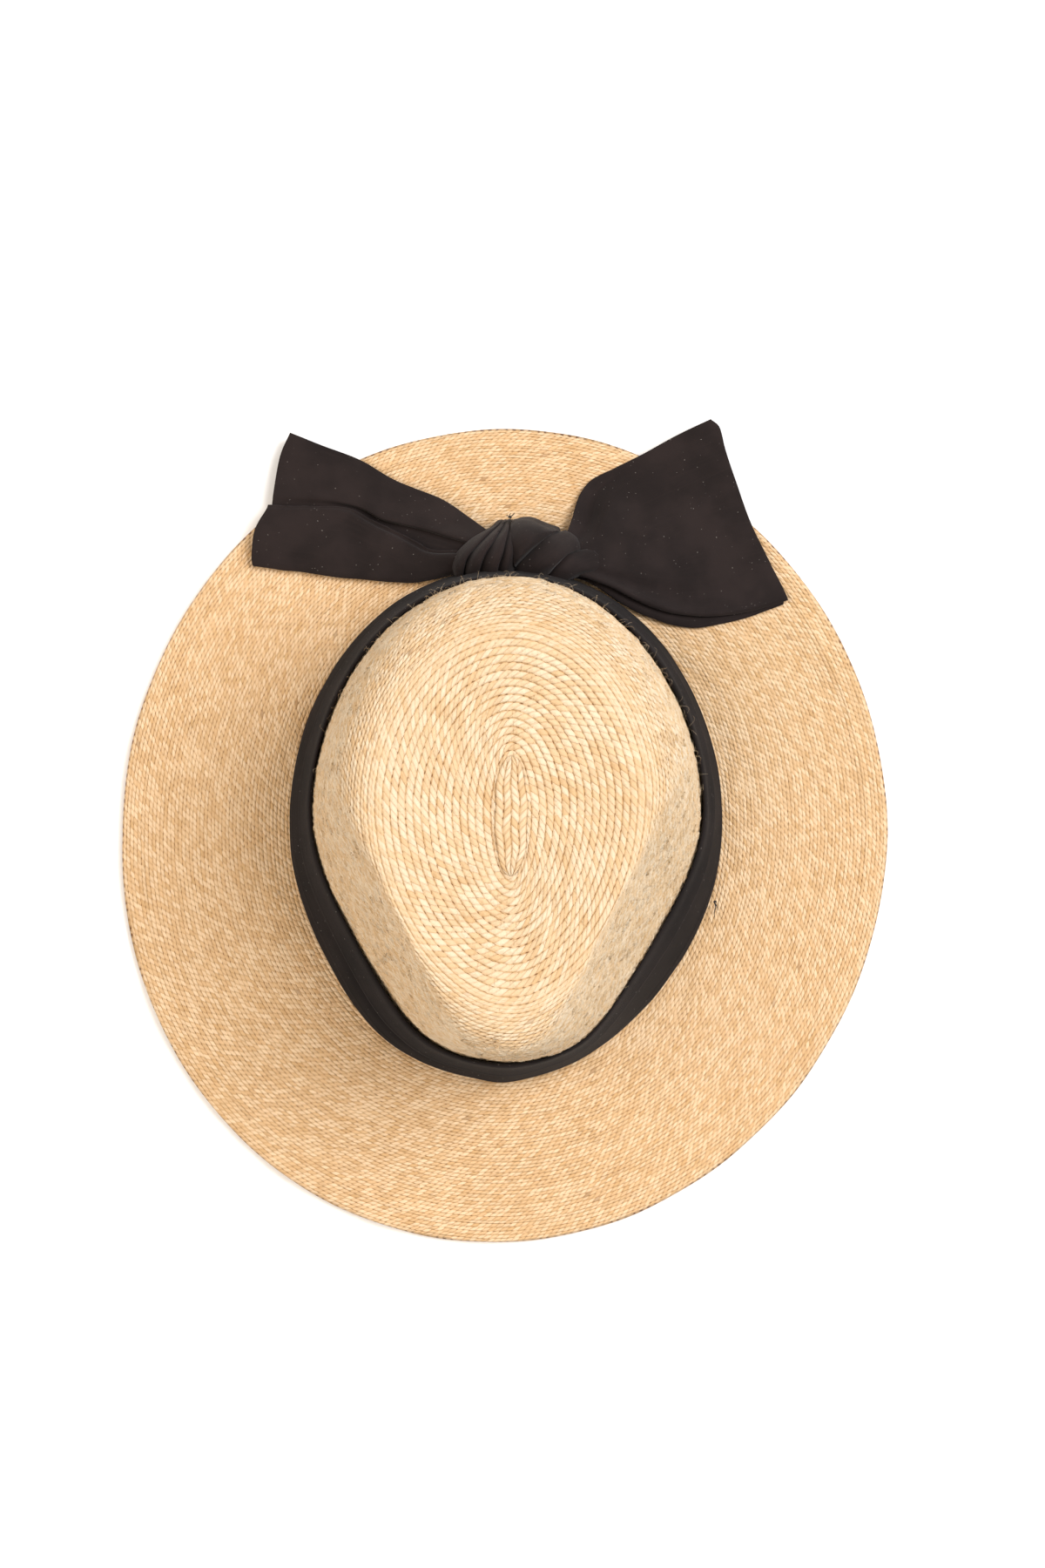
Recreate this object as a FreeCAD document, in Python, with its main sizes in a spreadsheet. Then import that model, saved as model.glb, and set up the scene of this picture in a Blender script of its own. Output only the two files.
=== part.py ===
import FreeCAD, Part
import Sketcher
import math
import os

# A straw sun hat: a pinched teardrop crown and a wide oval brim sewn from braid,
# a turned hem with a wire in it, a sweatband, and a cloth scarf tied round the crown
# with a knot and two loose tails at the back.
# Millimetres. X to the wearer's side, +Y to the back of the hat, +Z up, z = 0 under the hem.

V = FreeCAD.Vector
doc = FreeCAD.newDocument("straw_sun_hat")

# ---------------------------------------------------------------- sizes
SIZES = [
    # brim
    ("rim_half_x", 161.5, "brim rim, half width"),
    ("rim_half_y", 171.5, "brim rim, half length"),
    ("rim_top", 5.0, "top of the flat rim"),
    ("brim_thick", 2.6, "thickness of the sewn braid in the brim"),
    ("brim_drop", 9.0, "how far the brim falls from the crown to the rim"),
    ("flat_from", 0.88, "share of the brim width where the flat rim starts"),
    ("crown_shift", 5.3, "crown centre lies this far behind the brim centre"),
    ("seat_gap", 0.2, "gap between the crown wall and the brim edge"),
    # crown
    ("crown_half_x", 86.0, "crown base, half width outside"),
    ("crown_half_y", 102.3, "crown base, half length outside"),
    ("crown_wall", 2.8, "thickness of the sewn braid in the crown"),
    ("crown_foot", 11.4, "bottom edge of the crown wall"),
    ("corner_top", 124.0, "where wall and top would meet if not rounded"),
    ("top_half_x", 70.0, "half width at the top corner"),
    ("top_half_y", 92.6, "half length at the top corner"),
    ("top_shift", 4.7, "the top sits this far further back than the base"),
    ("top_side", 3.0, "the top leans this far to one side"),
    ("ridge_shift", 4.3, "the start of the braid sits this far behind the crown centre"),
    ("wall_bow", 0.3, "how much more the wall leans in low down than high up"),
    ("pinch_reach", 51.2, "distance of each pinched side from the crown axis at the top"),
    ("pinch_low", 97.0, "the same distance at the foot, where the wall is still an oval"),
    ("pinch_curve", 0.72, "how hollow the pinched side is from foot to top; 1 is straight"),
    ("pinch_angle", 64.0, "turn of each pinched side from straight ahead at the top, degrees"),
    ("pinch_twist", 6.0, "how much less that turn is at the foot, degrees"),
    ("pinch_blend", 18.0, "how sharply the pinched side meets the round side"),
    ("ridge_half", 17.0, "half length of the line the braid starts round"),
    ("dish_depth", 9.0, "depth of the dished top"),
    ("round_side", 29.0, "shoulder rounding at the back and sides"),
    ("round_front", 17.0, "shoulder rounding at the front point"),
    ("start_share", 0.07, "share of the top left open for the first plait"),
    # first plait
    ("plait_half_width", 6.8, "half width of the first plait"),
    ("plait_half_length", 21.8, "half length of the first plait"),
    ("plait_height", 2.2, "thickness of the first plait"),
    ("plait_gap", 0.5, "the first plait lies this far over the opening in the top"),
    ("plait_round", 0.9, "rounded top edge of the first plait"),
    # hem
    ("hem_width", 9.0, "width of the turned hem"),
    ("hem_top", 2.2, "top of the turned hem"),
    ("hem_inset", 0.2, "hem fold lies this far inside the rim"),
    ("groove_floor", 0.4, "floor of the wire channel"),
    ("groove_inset", 2.2, "wire channel starts this far inside the hem fold"),
    ("groove_width", 2.1, "width of the wire channel"),
    ("wire_radius", 0.6, "brim wire"),
    ("wire_height", 1.35, "height of the wire centre"),
    ("wire_end_angle", 0.07, "angle each end of the wire stops short of the joint, degrees"),
    ("ferrule_bore", 0.65, "inside radius of the ferrule"),
    ("ferrule_outer", 0.88, "outside radius of the ferrule"),
    ("ferrule_angle", 4.0, "angle the ferrule covers, degrees"),
    ("hem_stitch_count", 96, "stitches that hold the hem"),
    ("stitch_length", 2.8, "length of one stitch"),
    ("stitch_radius", 0.3, "thread radius"),
    ("stitch_gap", 0.2, "gap between a stitch and the cloth it lies on"),
    # sweatband
    ("sweat_gap", 0.4, "gap between crown wall and sweatband"),
    ("sweat_thick", 0.8, "thickness of the sweatband tape"),
    ("sweat_low", 12.0, "lower edge of the sweatband"),
    ("sweat_high", 42.0, "upper edge of the sweatband"),
    ("sweat_slit", 1.6, "open joint of the sweatband at the back"),
    ("tape_width", 14.0, "tape that closes the sweatband joint"),
    ("tape_thick", 0.7, "thickness of that tape"),
    ("tape_height", 22.0, "height of that tape"),
    ("sweat_stitch_count", 72, "stitches that hold the sweatband"),
    # scarf
    ("band_low", 14.8, "lower edge of the cloth band"),
    ("band_high", 50.0, "upper edge of the cloth band"),
    ("band_gap", 0.4, "gap between crown wall and cloth band"),
    ("knot_front", 113.6, "side of the knot that faces the crown"),
    ("knot_back", 130.3, "side of the knot that faces the rim"),
    ("knot_low", 14.4, "underside of the knot"),
    ("knot_high", 42.0, "top of the knot"),
    ("knot_round", 7.0, "rounding of the knot"),
    ("wrap_left", -21.8, "left end of the left wrap"),
    ("wrap_middle_left", 2.6, "where the left wrap ends"),
    ("wrap_middle_right", 3.2, "where the right wrap starts"),
    ("wrap_right_front", 23.8, "right end of the right wrap, crown side"),
    ("wrap_right_back", 29.3, "right end of the right wrap, rim side"),
    ("tail_gap", 0.45, "gap between a resting tail and the brim"),
    ("tail_thick", 6.0, "loft of the folded cloth in a tail"),
    ("root_radius", 3.5, "rounded root of a tail at the knot"),
    ("root_length", 16.0, "width of the root at the knot"),
    ("root_height", 18.2, "height of the root centre"),
    ("left_root_x", -26.0, "left root, sideways place"),
    ("left_root_y", 119.5, "left root, place along the hat"),
    ("left_root_turn", 0.0, "left root, turn seen from above, degrees"),
    ("right_root_x", 32.2, "right root, sideways place"),
    ("right_root_y", 119.8, "right root, place along the hat"),
    ("right_root_turn", -10.0, "right root, turn seen from above, degrees"),
    ("tack_radius", 0.35, "tacking thread"),
]

sheet = doc.addObject("Spreadsheet::Sheet", "Sizes")
for row, (name, value, note) in enumerate(SIZES, start=1):
    sheet.set("A%d" % row, note)
    sheet.set("B%d" % row, str(value))
    sheet.setAlias("B%d" % row, name)
doc.recompute()


def size(name):
    """A number read back from the sheet."""
    return float(sheet.get(name))


def bind(item, prop, formula):
    """Drive one property from the sheet; a word in braces in the formula is a sheet name."""
    for name, _, _ in sorted(SIZES, key=lambda entry: -len(entry[0])):
        formula = formula.replace("{%s}" % name, "<<Sizes>>.%s" % name)
    item.setExpression(prop, formula)


# ---------------------------------------------------------------- brim shape
BRIM_STEPS = 8
RING_X = "({crown_half_x} + {seat_gap} + ({rim_half_x} - {crown_half_x} - {seat_gap}) * %f)"
RING_Y = "({crown_half_y} + {seat_gap} + ({rim_half_y} - {crown_half_y} - {seat_gap}) * %f)"
RING_Z = "({rim_top} + {brim_drop} * (0.5 + 0.5 * cos(180 deg * %f / {flat_from})))"
SHIFT_Y = "({crown_shift} * (1 - %f))"


def oval(name, half_x, half_y, centre_y, height):
    """An oval with its long axis along the hat, as one edge."""
    ring = doc.addObject("Part::Ellipse", name)
    ring.Placement = FreeCAD.Placement(V(0, 0, 0), FreeCAD.Rotation(V(0, 0, 1), 90))
    bind(ring, "MajorRadius", half_y)
    bind(ring, "MinorRadius", half_x)
    bind(ring, "Placement.Base.y", centre_y)
    bind(ring, "Placement.Base.z", height)
    return ring


def oval_slab(name, half_x, half_y, centre_y, low, high):
    """A solid oval plate between two heights."""
    slab = doc.addObject("Part::Extrusion", name)
    slab.Base = oval(name + "_edge", half_x, half_y, centre_y, low)
    slab.Dir = V(0, 0, 1)
    slab.DirMode = "Custom"
    slab.Solid = True
    bind(slab, "LengthFwd", "(%s) - (%s)" % (high, low))
    return slab


def slope(name, lift):
    """The mound under the sloping part of the brim's upper face, moved up by lift."""
    rings = []
    for step in range(BRIM_STEPS + 1):
        share = size("flat_from") * (1.0 - step / BRIM_STEPS)
        height = RING_Z % share + " + " + lift
        ring = oval("%s_ring_%d" % (name, step), RING_X % share, RING_Y % share, SHIFT_Y % share, height)
        rings.append(ring)
    mound = doc.addObject("Part::Loft", name)
    mound.Sections = rings
    mound.Solid = True
    mound.Ruled = False
    return mound


def fuse(name, items):
    joined = doc.addObject("Part::MultiFuse", name)
    joined.Shapes = items
    return joined


def join_pair(name, base, tool):
    joined = doc.addObject("Part::Fuse", name)
    joined.Base = base
    joined.Tool = tool
    return joined


def cut(name, base, tool):
    result = doc.addObject("Part::Cut", name)
    result.Base = base
    result.Tool = tool
    return result


# the brim: a flat rim and a slope up to the crown, one layer thick
rim_slab = oval_slab("rim_slab", "{rim_half_x}", "{rim_half_y}", "0",
                     "{rim_top} - {brim_thick}", "{rim_top}")
brim_mound = fuse("brim_mound", [slope("brim_over", "0"), rim_slab])
brim_shell = cut("brim_shell", brim_mound, slope("brim_under", "(0 - {brim_thick})"))
crown_hole = oval_slab("crown_hole", "{crown_half_x} + {seat_gap}", "{crown_half_y} + {seat_gap}",
                       "{crown_shift}", "0", "{corner_top}")
brim = cut("brim", brim_shell, crown_hole)
brim.Label = "brim"

# ---------------------------------------------------------------- hem, wire, ferrule
HEM_OUT_X = "{rim_half_x} - {hem_inset}"
HEM_OUT_Y = "{rim_half_y} - {hem_inset}"


def hem_oval(name, inset, low, high):
    """An oval plate that follows the hem fold, inset from it."""
    return oval_slab(name, HEM_OUT_X + " - " + inset, HEM_OUT_Y + " - " + inset, "0", low, high)


hem_ring = cut("hem_ring", hem_oval("hem_fold", "0", "0", "{hem_top}"),
               hem_oval("hem_inner", "{hem_width}", "0", "{hem_top}"))
channel = cut("channel", hem_oval("channel_out", "{groove_inset}", "{groove_floor}", "{hem_top}"),
              hem_oval("channel_in", "({groove_inset} + {groove_width})", "{groove_floor}", "{hem_top}"))
brim_hem = cut("brim_hem", hem_ring, channel)
brim_hem.Label = "brim_hem"

WIRE_INSET = "({groove_inset} + {groove_width} / 2)"


def wire_rod(name, radius, start, finish):
    """A round rod along the wire line between two angles, counted from the back of the hat."""
    line = oval(name + "_line", HEM_OUT_X + " - " + WIRE_INSET, HEM_OUT_Y + " - " + WIRE_INSET,
                "0", "{wire_height}")
    bind(line, "Angle1", start)
    bind(line, "Angle2", finish)
    end = doc.addObject("Part::Circle", name + "_end")
    bind(end, "Radius", radius)
    end.Placement = FreeCAD.Placement(V(0, 0, 0), FreeCAD.Rotation(V(0, 1, 0), 90))
    bind(end, "Placement.Base.x", "0 - (%s - %s) * sin(%s)" % (HEM_OUT_X, WIRE_INSET, start))
    bind(end, "Placement.Base.y", "(%s - %s) * cos(%s)" % (HEM_OUT_Y, WIRE_INSET, start))
    bind(end, "Placement.Base.z", "{wire_height}")
    rod = doc.addObject("Part::Sweep", name)
    rod.Sections = [end]
    rod.Spine = (line, ["Edge1"])
    rod.Solid = True
    return rod


WIRE_START = "1 deg * {wire_end_angle}"
WIRE_FINISH = "360 deg - 1 deg * {wire_end_angle}"
brim_wire = wire_rod("brim_wire", "{wire_radius}", WIRE_START, WIRE_FINISH)
brim_wire.Label = "brim_wire"

FERRULE_START = "360 deg - 1 deg * {ferrule_angle} / 2"
FERRULE_FINISH = "1 deg * {ferrule_angle} / 2"
wire_ferrule = cut("wire_ferrule", wire_rod("ferrule_body", "{ferrule_outer}", FERRULE_START, FERRULE_FINISH),
                   wire_rod("ferrule_hole", "{ferrule_bore}", FERRULE_START, FERRULE_FINISH))
wire_ferrule.Label = "wire_ferrule"


OVAL_STEPS = 3600


def oval_points(half_x, half_y, height):
    """Closely spaced points round an oval that is centred on the brim."""
    angles = [2 * math.pi * index / OVAL_STEPS for index in range(OVAL_STEPS)]
    return [V(half_x * math.cos(angle), half_y * math.sin(angle), height) for angle in angles]


def even_places(points, count):
    """Evenly spaced places on a closed line of points, each as (point, direction of travel)."""
    closed = points + [points[0]]
    travelled = [0.0]
    for first, second in zip(closed, closed[1:]):
        travelled.append(travelled[-1] + (second - first).Length)
    places = []
    spot = 0
    for index in range(count):
        target = travelled[-1] * (index + 0.5) / count
        while travelled[spot + 1] < target:
            spot += 1
        direction = closed[spot + 1] - closed[spot]
        direction.normalize()
        places.append((closed[spot] + direction * (target - travelled[spot]), direction))
    return places


def stitches(points, count):
    """A row of thread stitches lying along a closed line of points, as separate small rods."""
    rods = []
    for point, direction in even_places(points, count):
        start = point - direction * (size("stitch_length") / 2)
        rods.append(Part.makeCylinder(size("stitch_radius"), size("stitch_length"), start, direction))
    return Part.makeCompound(rods)


hem_stitches = doc.addObject("Part::Feature", "hem_stitches")
hem_stitch_inset = size("hem_inset") + size("hem_width") + 2 * size("stitch_radius")
hem_stitch_height = size("hem_top") - size("stitch_radius") - size("stitch_gap") / 2
hem_stitch_line = oval_points(size("rim_half_x") - hem_stitch_inset, size("rim_half_y") - hem_stitch_inset,
                              hem_stitch_height)
hem_stitches.Shape = stitches(hem_stitch_line, int(size("hem_stitch_count")))
hem_stitches.Label = "hem_stitches"

# ---------------------------------------------------------------- crown shape
AROUND = 96
ANGLES = [2 * math.pi * index / AROUND for index in range(AROUND)]


def ridge_point(angle):
    """The point on the middle line of the top that the braid turns round."""
    centre_y = size("crown_shift") + size("ridge_shift")
    return V(size("top_side"), centre_y + size("ridge_half") * math.sin(angle), 0)


def base_point(angle):
    """Outside edge of the crown wall where it meets the brim."""
    return V(size("crown_half_x") * math.cos(angle),
             size("crown_shift") + size("crown_half_y") * math.sin(angle), 0)


def wall_lean(share):
    """How far in the wall has come at a share of its height; it leans most low down."""
    return share + size("wall_bow") * share * (1 - share)


def corner_point(angle):
    """Top corner of the round crown before its shoulder is rounded, in plan."""
    return V(size("top_side") + size("top_half_x") * math.cos(angle),
             size("crown_shift") + size("top_shift") + size("top_half_y") * math.sin(angle), 0)


def round_wall(angle, share):
    """A point on the round wall before the pinch; share is the part of the way from foot to corner."""
    foot = base_point(angle)
    flat = foot + (corner_point(angle) - foot) * wall_lean(share)
    return V(flat.x, flat.y, size("crown_foot") + (size("corner_top") - size("crown_foot")) * share)


def pinched(angle, point):
    """A point of the round crown drawn in to the two flat sides that meet at the front."""
    start = ridge_point(angle)
    reach = V(point.x, point.y, 0) - start
    share = max(0.0, (point.z - size("crown_foot")) / (size("corner_top") - size("crown_foot")))
    power = size("pinch_blend")
    turn = math.radians(size("pinch_angle") - size("pinch_twist") * (1 - share))
    limit = size("pinch_low") + (size("pinch_reach") - size("pinch_low")) * share ** size("pinch_curve")
    total = 1.0
    for side in (-1, 1):
        facing = V(side * math.sin(turn), -math.cos(turn), 0)
        outward = facing.dot(reach)
        room = limit - facing.dot(start - V(0, size("crown_shift"), 0))
        if outward > 0:
            total += (outward / room) ** power
    flat = start + reach * total ** (-1.0 / power)
    return V(flat.x, flat.y, point.z)


def wall_point(angle, share):
    """A point on the outside of the finished wall, below the shoulder."""
    return pinched(angle, round_wall(angle, share))


def rounding(angle):
    """Shoulder rounding, tighter at the front point."""
    front = max(0.0, -math.sin(angle)) ** 20
    return size("round_side") * (1 - front) + size("round_front") * front


WALL_STEPS = 7
TURN_STEPS = 9
TOP_STEPS = 6
LITTLE = 0.01


def crown_profile(angle):
    """Points up the outside of the crown at one angle, from the foot to the first plait."""
    middle = ridge_point(angle)
    radius = rounding(angle)
    wall_length = size("corner_top") - size("crown_foot")
    top_length = (corner_point(angle) - middle).Length

    def on_top(share):
        flat = middle + (corner_point(angle) - middle) * share
        return flat + V(0, 0, size("corner_top") - size("dish_depth") * (1 - share * share))

    leave = 1 - radius / wall_length
    join = 1 - radius / top_length
    points = [round_wall(angle, leave * step / WALL_STEPS) for step in range(WALL_STEPS)]
    first, last = round_wall(angle, leave), on_top(join)
    slope = first - round_wall(angle, leave - LITTLE)
    corner = first + slope * ((1 - leave) / LITTLE)
    for step in range(TURN_STEPS + 1):
        along = step / TURN_STEPS
        points.append(first * (1 - along) ** 2 + corner * (2 * along * (1 - along)) + last * along ** 2)
    for step in range(1, TOP_STEPS + 1):
        points.append(on_top(join + (size("start_share") - join) * step / TOP_STEPS))
    return [pinched(angle, point) for point in points]


def rings_from_profiles(profiles):
    return [[profile[level] for profile in profiles] for level in range(len(profiles[0]))]


def strip(rings):
    """A smooth closed strip of surface through a stack of rings."""
    degree = min(3, len(rings) - 1)
    inner = len(rings) - degree - 1
    across = [float(index) for index in range(inner + 2)]
    across_count = [degree + 1] + [1] * inner + [degree + 1]
    round_knots = [float(index) for index in range(AROUND + 1)]
    round_count = [1] * (AROUND + 1)
    poles = [[ring[index] for ring in rings] for index in range(AROUND)]
    surface = Part.BSplineSurface()
    surface.buildFromPolesMultsKnots(poles, round_count, across_count, round_knots, across,
                                     True, False, 3, degree)
    return surface.toShape()


def closed_ring(strips):
    """A ring-shaped solid from strips that each start where the one before ends."""
    shell = Part.makeCompound([strip(rings) for rings in strips])
    shell.sewShape()
    solid = Part.makeSolid(shell.Shells[0])
    if solid.Volume < 0:
        solid.reverse()
    return solid


def outward_normals(rings):
    """Outward directions on a stack of rings, from the neighbouring points."""
    normals = []
    for level, ring in enumerate(rings):
        below = rings[max(level - 1, 0)]
        above = rings[min(level + 1, len(rings) - 1)]
        row = []
        for index in range(AROUND):
            along = ring[(index + 1) % AROUND] - ring[index - 1]
            up = above[index] - below[index]
            normal = along.cross(up)
            normal.normalize()
            row.append(normal)
        normals.append(row)
    return normals


outer_rings = rings_from_profiles([crown_profile(angle) for angle in ANGLES])
inner_rings = []
for ring, directions in zip(outer_rings, outward_normals(outer_rings)):
    inner_rings.append([point - direction * size("crown_wall") for point, direction in zip(ring, directions)])
for index in range(AROUND):
    inner_rings[0][index].z = size("crown_foot")

crown = doc.addObject("Part::Feature", "crown")
crown.Shape = closed_ring([outer_rings, [outer_rings[-1], inner_rings[-1]],
                           inner_rings[::-1], [inner_rings[0], outer_rings[0]]])
crown.Label = "crown"


def wall_ring(height, offset):
    """A level ring that follows the crown wall at one height, moved outward by offset."""
    share = (height - size("crown_foot")) / (size("corner_top") - size("crown_foot"))
    points = [wall_point(angle, share) for angle in ANGLES]
    moved = []
    for index in range(AROUND):
        along = points[(index + 1) % AROUND] - points[index - 1]
        outward = V(along.y, -along.x, 0)
        outward.normalize()
        moved.append(points[index] + outward * offset)
    return moved


def wall_band(low, high, inner_offset, outer_profile):
    """A band round the crown wall; outer_profile lists (share of height, offset)."""
    outside = [wall_ring(low + (high - low) * share, offset) for share, offset in outer_profile]
    inside = [wall_ring(high, inner_offset), wall_ring(low, inner_offset)]
    return closed_ring([outside, [outside[-1], inside[0]], inside, [inside[-1], outside[0]]])


# ---------------------------------------------------------------- first plait
def sheet_of(body, plane):
    """One of the body's own origin planes, by its role."""
    for feature in body.Origin.OriginFeatures:
        if feature.Role == plane:
            return feature
    raise ValueError("no plane " + plane)


def flat_sketch(body, name, height):
    """A sketch level with the ground, on the body's own plane, raised to a height."""
    drawing = body.newObject("Sketcher::SketchObject", name)
    drawing.AttachmentSupport = [(sheet_of(body, "XY_Plane"), "")]
    drawing.MapMode = "FlatFace"
    bind(drawing, "AttachmentOffset.Base.z", height)
    return drawing


def polygon_sketch(body, name, height, corners):
    """A closed outline of straight sides; each corner is a pair of formulas."""
    drawing = flat_sketch(body, name, height)
    rough = [V(10 * math.cos(2 * math.pi * index / len(corners)),
               10 * math.sin(2 * math.pi * index / len(corners)), 0) for index in range(len(corners))]
    for index in range(len(corners)):
        drawing.addGeometry(Part.LineSegment(rough[index], rough[(index + 1) % len(corners)]), False)
    for index in range(len(corners)):
        following = (index + 1) % len(corners)
        drawing.addConstraint(Sketcher.Constraint("Coincident", index, 2, following, 1))
    for index, (across, along) in enumerate(corners):
        for kind, value, axis in (("DistanceX", across, "x"), ("DistanceY", along, "y")):
            drawing.addConstraint(Sketcher.Constraint(kind, -1, 1, index, 1, float(value)))
    return drawing


def pad(body, name, drawing, length):
    block = body.newObject("PartDesign::Pad", name)
    block.Profile = drawing
    bind(block, "Length", length)
    return block


def round_edges(body, name, base, edges, radius):
    rounded = body.newObject("PartDesign::Fillet", name)
    rounded.Base = (base, edges)
    bind(rounded, "Radius", radius)
    return rounded


def top_edges(shape, height):
    """Names of the edges that lie level at one height."""
    found = []
    for index, edge in enumerate(shape.Edges, start=1):
        box = edge.BoundBox
        if abs(box.ZMin - height) < 0.01 and abs(box.ZMax - height) < 0.01:
            found.append("Edge%d" % index)
    return found


def first_plait():
    body = doc.addObject("PartDesign::Body", "centre_plait")
    body.Label = "centre_plait"
    bottom = "{corner_top} - {dish_depth} + {plait_gap}"
    drawing = flat_sketch(body, "plait_outline", bottom)
    half = size("plait_half_width")
    side = size("top_side")
    straight = size("plait_half_length") - half
    centre_y = size("crown_shift") + size("ridge_shift")
    drawing.addGeometry(Part.ArcOfCircle(Part.Circle(V(side, centre_y + straight, 0), V(0, 0, 1), half),
                                         0, math.pi), False)
    drawing.addGeometry(Part.LineSegment(V(side - half, centre_y + straight, 0),
                                         V(side - half, centre_y - straight, 0)), False)
    drawing.addGeometry(Part.ArcOfCircle(Part.Circle(V(side, centre_y - straight, 0), V(0, 0, 1), half),
                                         math.pi, 2 * math.pi), False)
    drawing.addGeometry(Part.LineSegment(V(side + half, centre_y - straight, 0),
                                         V(side + half, centre_y + straight, 0)), False)
    for first, second in ((0, 1), (1, 2), (2, 3), (3, 0)):
        drawing.addConstraint(Sketcher.Constraint("Tangent", first, 2, second, 1))
    drawing.addConstraint(Sketcher.Constraint("Vertical", 1))
    side_id = drawing.addConstraint(Sketcher.Constraint("DistanceX", -1, 1, 0, 3, size("top_side")))
    radius_id = drawing.addConstraint(Sketcher.Constraint("Radius", 0, half))
    upper_id = drawing.addConstraint(Sketcher.Constraint("DistanceY", -1, 1, 0, 3, centre_y + straight))
    lower_id = drawing.addConstraint(Sketcher.Constraint("DistanceY", 2, 3, 0, 3, 2 * straight))
    bind(drawing, "Constraints[%d]" % radius_id, "{plait_half_width}")
    bind(drawing, "Constraints[%d]" % upper_id,
         "{crown_shift} + {ridge_shift} + {plait_half_length} - {plait_half_width}")
    bind(drawing, "Constraints[%d]" % side_id, "{top_side}")
    bind(drawing, "Constraints[%d]" % lower_id, "2 * ({plait_half_length} - {plait_half_width})")
    block = pad(body, "plait_block", drawing, "{plait_height}")
    doc.recompute()
    edges = top_edges(block.Shape, block.Shape.BoundBox.ZMax)
    round_edges(body, "plait_edge", block, edges, "{plait_round}")
    return body


centre_plait = first_plait()

# ---------------------------------------------------------------- sweatband
sweat_out = -(size("crown_wall") + size("sweat_gap"))
sweat_in = sweat_out - size("sweat_thick")
sweat_ring = doc.addObject("Part::Feature", "sweat_ring")
sweat_ring.Shape = wall_band(size("sweat_low"), size("sweat_high"), sweat_in, [(0, sweat_out), (1, sweat_out)])

slit = doc.addObject("Part::Box", "slit")
bind(slit, "Length", "{sweat_slit}")
bind(slit, "Width", "{crown_half_y}")
bind(slit, "Height", "{corner_top}")
bind(slit, "Placement.Base.x", "0 - {sweat_slit} / 2")
bind(slit, "Placement.Base.y", "{crown_shift}")
sweatband = cut("sweatband", sweat_ring, slit)
sweatband.Label = "sweatband"

tape_keep = doc.addObject("Part::Box", "tape_keep")
bind(tape_keep, "Length", "{tape_width}")
bind(tape_keep, "Width", "{crown_half_y}")
bind(tape_keep, "Height", "{tape_height}")
bind(tape_keep, "Placement.Base.x", "0 - {tape_width} / 2")
bind(tape_keep, "Placement.Base.y", "{crown_shift}")
bind(tape_keep, "Placement.Base.z", "({sweat_low} + {sweat_high} - {tape_height}) / 2")
TAPE_GAP = 0.1
tape_out = sweat_in - TAPE_GAP
tape_ring = doc.addObject("Part::Feature", "tape_ring")
tape_ring.Shape = wall_band(size("sweat_low"), size("sweat_high"), tape_out - size("tape_thick"),
                            [(0, tape_out), (1, tape_out)])
sweatband_tape = doc.addObject("Part::Common", "sweatband_tape")
sweatband_tape.Base = tape_ring
sweatband_tape.Tool = tape_keep
sweatband_tape.Label = "sweatband_tape"

sweatband_stitches = doc.addObject("Part::Feature", "sweatband_stitches")
STITCH_ABOVE_EDGE = 3.0
stitch_line = wall_ring(size("sweat_low") + STITCH_ABOVE_EDGE,
                        sweat_in - size("stitch_radius") - size("stitch_gap"))
sweatband_stitches.Shape = stitches(stitch_line, int(size("sweat_stitch_count")))
sweatband_stitches.Label = "sweatband_stitches"

# ---------------------------------------------------------------- cloth band with two soft pleats
PLEATS = [(0.0, 2.4), (0.06, 4.8), (0.2, 6.3), (0.36, 5.8), (0.47, 4.3),
          (0.56, 4.7), (0.72, 4.0), (0.88, 2.9), (0.97, 1.9), (1.0, 1.2)]
scarf_band = doc.addObject("Part::Feature", "scarf_band")
scarf_band.Shape = wall_band(size("band_low"), size("band_high"), size("band_gap"), PLEATS)
scarf_band.Label = "scarf_band"


# ---------------------------------------------------------------- knot
def wrap(name, corners):
    """One rounded turn of cloth in the knot; corners name sheet cells, seen from above."""
    body = doc.addObject("PartDesign::Body", name)
    body.Label = name
    places = [(size(across), size(along)) for across, along in corners]
    drawing = polygon_sketch(body, name + "_outline", "{knot_low}", places)
    first_size = len(corners)
    for index, (across, along) in enumerate(corners):
        bind(drawing, "Constraints[%d]" % (first_size + 2 * index), "{%s}" % across)
        bind(drawing, "Constraints[%d]" % (first_size + 2 * index + 1), "{%s}" % along)
    block = pad(body, name + "_block", drawing, "{knot_high} - {knot_low}")
    doc.recompute()
    edges = ["Edge%d" % (index + 1) for index in range(len(block.Shape.Edges))]
    round_edges(body, name + "_round", block, edges, "{knot_round}")
    return body


knot_left = wrap("knot_left_wrap", [("wrap_left", "knot_front"), ("wrap_middle_left", "knot_front"),
                                    ("wrap_middle_left", "knot_back"), ("wrap_left", "knot_back")])
knot_right = wrap("knot_right_wrap", [("wrap_middle_right", "knot_front"), ("wrap_right_front", "knot_front"),
                                      ("wrap_right_back", "knot_back"), ("wrap_middle_right", "knot_back")])

# ---------------------------------------------------------------- tails
LEFT_OUTLINE = [(-26.0, 111.4), (-36.0, 108.4), (-54.4, 106.2), (-80.0, 108.2), (-102.5, 111.0),
                (-105.1, 114.0), (-105.1, 130.3), (-100.4, 137.0), (-96.8, 139.0), (-89.5, 167.7),
                (-70.0, 158.5), (-50.8, 149.2), (-36.0, 141.6), (-26.0, 134.5)]
RIGHT_OUTLINE = [(32.0, 113.3), (39.9, 104.4), (50.8, 97.6), (65.3, 91.6), (79.8, 88.0), (97.9, 92.3),
                 (117.8, 98.8), (117.1, 101.3), (106.9, 121.3), (97.9, 144.8), (89.9, 166.6),
                 (86.5, 170.6), (58.0, 158.2), (40.0, 149.4), (37.4, 141.0), (36.4, 127.0)]
TOOL_HALF = 190.0


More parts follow.
